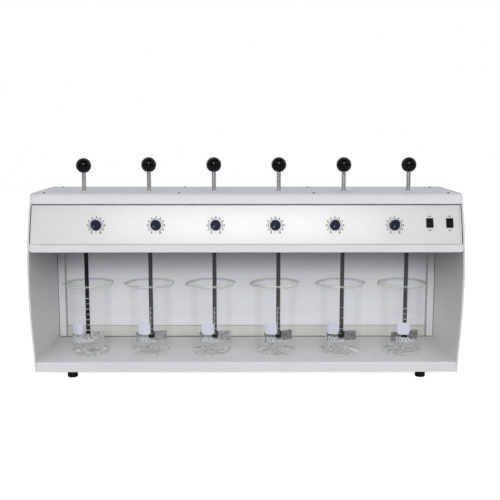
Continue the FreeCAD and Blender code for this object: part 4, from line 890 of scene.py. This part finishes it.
# %% Print the six beakers
BEAKER_RADIUS = 0.053
PRINT_TURNS = (-24.6, -11.5, -8.1, -14.3, -27.5, -4.6)
PATCH, PATCH_HEIGHT, PATCH_CORNER = 0.0295, 0.0705, 0.006
VOLUME_PLACE, VOLUME_SIZE = (-0.003, 0.0425, 0), 0.0175
UNIT_PLACE, UNIT_SIZE = (0.0225, 0.0415, 0), 0.012
BOLD = 0.0003
RUNG, SHORT_RUNG, LONG_RUNG = 0.0129, 0.0055, 0.0125
NUMBER_OFFSET, NUMBER_SIZE = 0.0165, 0.0042
# Each ladder: place across, height of its lowest line, lines, their thickness, and how
# far they lean to the right of their place, as a share of their length.
USUAL_LADDER = (0.0160, 0.0580, 6, 0.0009, 0.5)
LADDERS = {1: (0.0286, 0.0677, 7, 0.0015, 0), 6: (0.0008, 0.0940, 3, 0.0015, 0)}

for n, x, turn in zip(STATIONS, BEAKER_X, PRINT_TURNS):
    art = bmesh.new()
    add(art, plate(PATCH, PATCH, PATCH_CORNER), Matrix.Translation((0, PATCH_HEIGHT, 0)))
    add(art, lettering("1000", VOLUME_SIZE, bold=BOLD), Matrix.Translation(VOLUME_PLACE))
    add(art, lettering("ml", UNIT_SIZE, bold=BOLD), Matrix.Translation(UNIT_PLACE))
    across, lowest, rungs, thick_line, lean = LADDERS.get(n, USUAL_LADDER)
    if lean:
        upright = plate(thick_line, (rungs - 1) * RUNG)
        add(art, upright, Matrix.Translation((across, lowest + (rungs - 1) * RUNG / 2, 0)))
    for rung in range(rungs):
        level = lowest + rung * RUNG
        long = (rungs - rung) % 2
        wide = LONG_RUNG if long else SHORT_RUNG
        add(art, plate(wide, thick_line), Matrix.Translation((across + lean * wide, level, 0)))
        if long:
            number = lettering(str(100 * round(level / RUNG)), NUMBER_SIZE)
            add(art, number, Matrix.Translation((across + NUMBER_OFFSET, level, 0)))
    wrap(art, BEAKER_RADIUS + PRINT, Vector((x, BEAKER_Y, SHELF_Z)), math.radians(turn))
    new_piece("beaker_print_%d" % n, art, enamel, "root")
print("six prints")

# %% [markdown]
# ## Ball knobs
#
# The balls are turned from phenolic rod and polished: a sphere with a small flat
# where the shaft enters. A sphere is cut by a plane, the hole is filled, and the
# sharp edge is beveled.

# %% Polished phenolic
phenolic = Finish("black_phenolic", Specular_IOR_Level=0.22)
phenolic_dark, phenolic_light = (0.0012, 0.0012, 0.0015), (0.003, 0.003, 0.0036)
phenolic.paint(phenolic.colours(phenolic.grain(80, 5), phenolic_dark, phenolic_light))
phenolic.polish(phenolic.grain(60, 3), 0.06, 0.12)
phenolic.relief(phenolic.grain(300, 2), 0.000004)

# %% Turn six balls
BALL_RADIUS = 0.0180
FLAT_DROP = 0.01658
FLAT_BEVEL = 0.0006

for n in STATIONS:
    low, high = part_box("ball_knob_%d" % n)
    ball = bmesh.new()
    bmesh.ops.create_uvsphere(ball, u_segments=64, v_segments=40, radius=BALL_RADIUS)
    cut = bmesh.ops.bisect_plane(ball, geom=ball.verts[:] + ball.edges[:] + ball.faces[:],
                                 plane_co=(0, 0, -FLAT_DROP), plane_no=(0, 0, -1), clear_outer=True)
    edge = [part for part in cut["geom_cut"] if isinstance(part, bmesh.types.BMEdge)]
    bmesh.ops.contextual_create(ball, geom=edge)
    bmesh.ops.bevel(ball, geom=edge, affect="EDGES", offset=FLAT_BEVEL, segments=3, profile=0.5,
                    material=-1)
    move(ball, Matrix.Translation(((low.x + high.x) / 2, (low.y + high.y) / 2, high.z - BALL_RADIUS)))
    knob = new_piece("ball_%d" % n, ball, phenolic, "stirrer_%d" % n)
    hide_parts("ball_knob_%d" % n)
print("six balls, the last at", tuple(round(v, 4) for v in (low + high) / 2))

# %% [markdown]
# ## The dials
#
# Each speed knob turns over a printed scale: an arc, a plain number from 0 to 10 at
# every thirty degrees, and a dot at the bottom where the scale is open. The panel is
# curved like a slice of a big cylinder, so the print is modelled flat, bent to that
# cylinder, and stood on it. The font's 6 breaks when its strokes are thickened, so a 9
# that is turned over stands in for it.

# %% A place on the curved panel
PANEL_AXIS_Y, PANEL_AXIS_Z = 0.257, 0.2395
PANEL_RADIUS = 0.4036
FILM = 0.0002


def stand_on_panel(shape, x, z, lift=FILM):
    """Bends flat print to the control panel and stands it there, +Y of the print upwards."""
    lean = math.asin((z - PANEL_AXIS_Z) / PANEL_RADIUS)
    for point in shape.verts:
        angle = lean + point.co.y / PANEL_RADIUS
        reach = PANEL_RADIUS + lift + point.co.z
        point.co = Vector((x + point.co.x, PANEL_AXIS_Y - reach * math.cos(angle),
                           PANEL_AXIS_Z + reach * math.sin(angle)))


dial_ink = Finish("dial_ink", Specular_IOR_Level=0.3)
ink_dark, ink_light = (0.010, 0.011, 0.014), (0.022, 0.022, 0.027)
dial_ink.paint(dial_ink.colours(dial_ink.grain(500, 3), ink_dark, ink_light))
dial_ink.polish(dial_ink.grain(400, 2), 0.45, 0.6)

# %% [markdown]
# The printing is on a thin film that is stuck to the panel and leaves a margin all
# round. It has a window for each switch: the flat film is sliced along the window's
# four sides, and the faces inside are deleted before it is given its thickness. A fine
# dark line along its right end paints the shade of the film's edge.

# %% Stick the film on the panel
panel_film = Finish("panel_film", Specular_IOR_Level=1.0)
film_dark, film_light = (0.585, 0.585, 0.565), (0.61, 0.61, 0.59)
panel_film.paint(panel_film.colours(panel_film.grain(3, 3), film_dark, film_light))
panel_film.polish(panel_film.grain(40, 3), 0.285, 0.30)
panel_film.relief(panel_film.grain(2000, 1), 0.00001)

PANEL_LOW, PANEL_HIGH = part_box("control_panel")
LEFT_MARGIN, RIGHT_MARGIN = 0.0145, 0.0060
FILM_LEFT, FILM_RIGHT = PANEL_LOW.x + LEFT_MARGIN, PANEL_HIGH.x - RIGHT_MARGIN
FILM_MIDDLE, FILM_HEIGHT = 0.3661, 0.0862
FILM_ROWS = 10
WINDOW = (0.0170, 0.0230)
EDGE_SHADE_LINE, EDGE_SHADE_LINE_INSET = 0.0005, 0.0003

width = FILM_RIGHT - FILM_LEFT
middle = (FILM_RIGHT + FILM_LEFT) / 2
film = bmesh.new()
bmesh.ops.create_grid(film, x_segments=1, y_segments=FILM_ROWS, size=0.5)
bmesh.ops.scale(film, vec=(width, FILM_HEIGHT, 1), verts=film.verts)
for name in ("lamp_switch", "mains_switch"):
    x, _, z = joints[name + "_tilt"]["pos_m"]
    centre = Vector((x - middle, z - FILM_MIDDLE, 0))
    for side in (-1, 1):
        slice_flat(film, centre + Vector((side * WINDOW[0] / 2, 0, 0)), (1, 0, 0))
        slice_flat(film, centre + Vector((0, side * WINDOW[1] / 2, 0)), (0, 1, 0))
    inside = [face for face in film.faces
              if abs(face.calc_center_median().x - centre.x) < WINDOW[0] / 2
              and abs(face.calc_center_median().y - centre.y) < WINDOW[1] / 2]
    bmesh.ops.delete(film, geom=inside, context="FACES")
thicken(film, FILM)
stand_on_panel(film, middle, FILM_MIDDLE, 0)
new_piece("panel_film", film, panel_film, "root", 60)
# painted shade: a dark line for the film's right edge
edge_shade_line = plate(EDGE_SHADE_LINE, FILM_HEIGHT)
for row in range(1, FILM_ROWS):
    slice_flat(edge_shade_line, (0, (row / FILM_ROWS - 0.5) * FILM_HEIGHT, 0), (0, 1, 0))
stand_on_panel(edge_shade_line, FILM_RIGHT - EDGE_SHADE_LINE_INSET, FILM_MIDDLE)
new_piece("film_edge_shade_line", edge_shade_line, dial_ink, "root")
print("film", round(width, 3), "wide")

# %% Print six dials
ARC_RADIUS, ARC_LINE = 0.0160, 0.0011
DOT_RADIUS, DOT_DROP = 0.0006, 0.0168
DIAL_NUMBERS = 10
DIAL_NUMBER_RADIUS, DIAL_NUMBER_SIZE = 0.0197, 0.0056
START, STEP = math.radians(240), math.radians(30)


def arc(radius, width, start, sweep, thickness=PRINT):
    """Thin curved line round the origin."""
    shape = bmesh.new()
    inner = shape.verts.new((radius - width / 2, 0, -thickness / 2))
    outer = shape.verts.new((radius + width / 2, 0, -thickness / 2))
    line = shape.edges.new((inner, outer))
    bmesh.ops.spin(shape, geom=[inner, outer, line], cent=(0, 0, 0), axis=(0, 0, 1),
                   angle=sweep, steps=60)
    thicken(shape, thickness)
    move(shape, Matrix.Rotation(start, 4, "Z"))
    return shape


for n in STATIONS:
    hub = joints["knob_%d_turn" % n]["pos_m"]
    art = bmesh.new()
    sweep = DIAL_NUMBERS * STEP
    add(art, arc(ARC_RADIUS, ARC_LINE, START - sweep, sweep), Matrix.Identity(4))
    add(art, arc(DOT_RADIUS / 2, DOT_RADIUS, 0, math.tau), Matrix.Translation((0, -DOT_DROP, 0)))
    for number in range(DIAL_NUMBERS + 1):
        angle = START - number * STEP
        out = Vector((math.cos(angle), math.sin(angle), 0))
        digits = lettering("9" if number == 6 else str(number), DIAL_NUMBER_SIZE, bold=BOLD)
        if number == 6:
            move(digits, Matrix.Rotation(math.pi, 4, "Z"))
        add(art, digits, Matrix.Translation(out * DIAL_NUMBER_RADIUS))
    stand_on_panel(art, hub[0], hub[2])
    new_piece("dial_%d" % n, art, dial_ink, "root")
print("six dials")

# %% [markdown]
# The knobs themselves come from the machine's own model, fluted and grooved. The
# groove is filled with a blue line, so that the setting can be read. The line is laid
# flat, turned to 0 on the scale, tilted to the panel's slope and moved to the knob.

# %% Fill the pointer grooves
pointer_blue = Finish("pointer_blue")
blue_dark, blue_light = (0.05, 0.12, 0.26), (0.09, 0.18, 0.36)
pointer_blue.paint(pointer_blue.colours(pointer_blue.grain(600, 2), blue_dark, blue_light))
pointer_blue.polish(pointer_blue.grain(500, 2), 0.3, 0.45)
KNOB_TOP = 0.0155
GROOVE = (0.0042, 0.0099)  # its ends, from the knob's axis
GROOVE_WIDTH, GROOVE_CORNER = 0.00145, 0.0003
LINE_THICKNESS, LINE_BELOW_TOP = 0.0006, 0.0004

for n in STATIONS:
    hub = joints["knob_%d_turn" % n]["pos_m"]
    line = plate(GROOVE[1] - GROOVE[0], GROOVE_WIDTH, GROOVE_CORNER, LINE_THICKNESS)
    out = Matrix.Translation(((GROOVE[0] + GROOVE[1]) / 2, 0, 0))
    move(line, Matrix.Rotation(START, 4, "Z") @ out)
    lean = math.asin((hub[2] - PANEL_AXIS_Z) / PANEL_RADIUS)
    rise = Matrix.Translation((0, 0, KNOB_TOP - LINE_BELOW_TOP))
    move(line, Matrix.Translation(hub) @ Matrix.Rotation(math.pi / 2 - lean, 4, "X") @ rise)
    new_piece("pointer_%d" % n, line, pointer_blue, "knob_%d" % n)
print("six pointers")

# %% [markdown]
# The two rocker switches get the plain words that every switch has.

# %% Words at the switches
WORD_SIZE, WORD_BOLD = 0.0040, 0.0002
ON_RISE, OFF_DROP = 0.0158, 0.0172

for name in ("lamp_switch", "mains_switch"):
    x, _, z = joints[name + "_tilt"]["pos_m"]
    art = bmesh.new()
    add(art, lettering("ON", WORD_SIZE, bold=WORD_BOLD), Matrix.Translation((0, ON_RISE, 0)))
    add(art, lettering("OFF", WORD_SIZE, bold=WORD_BOLD), Matrix.Translation((0, -OFF_DROP, 0)))
    stand_on_panel(art, x, z)
    new_piece(name + "_words", art, dial_ink, "root")
print("switch words")

# %% Finish with the standard view transform
bpy.context.scene.view_settings.view_transform = "Standard"
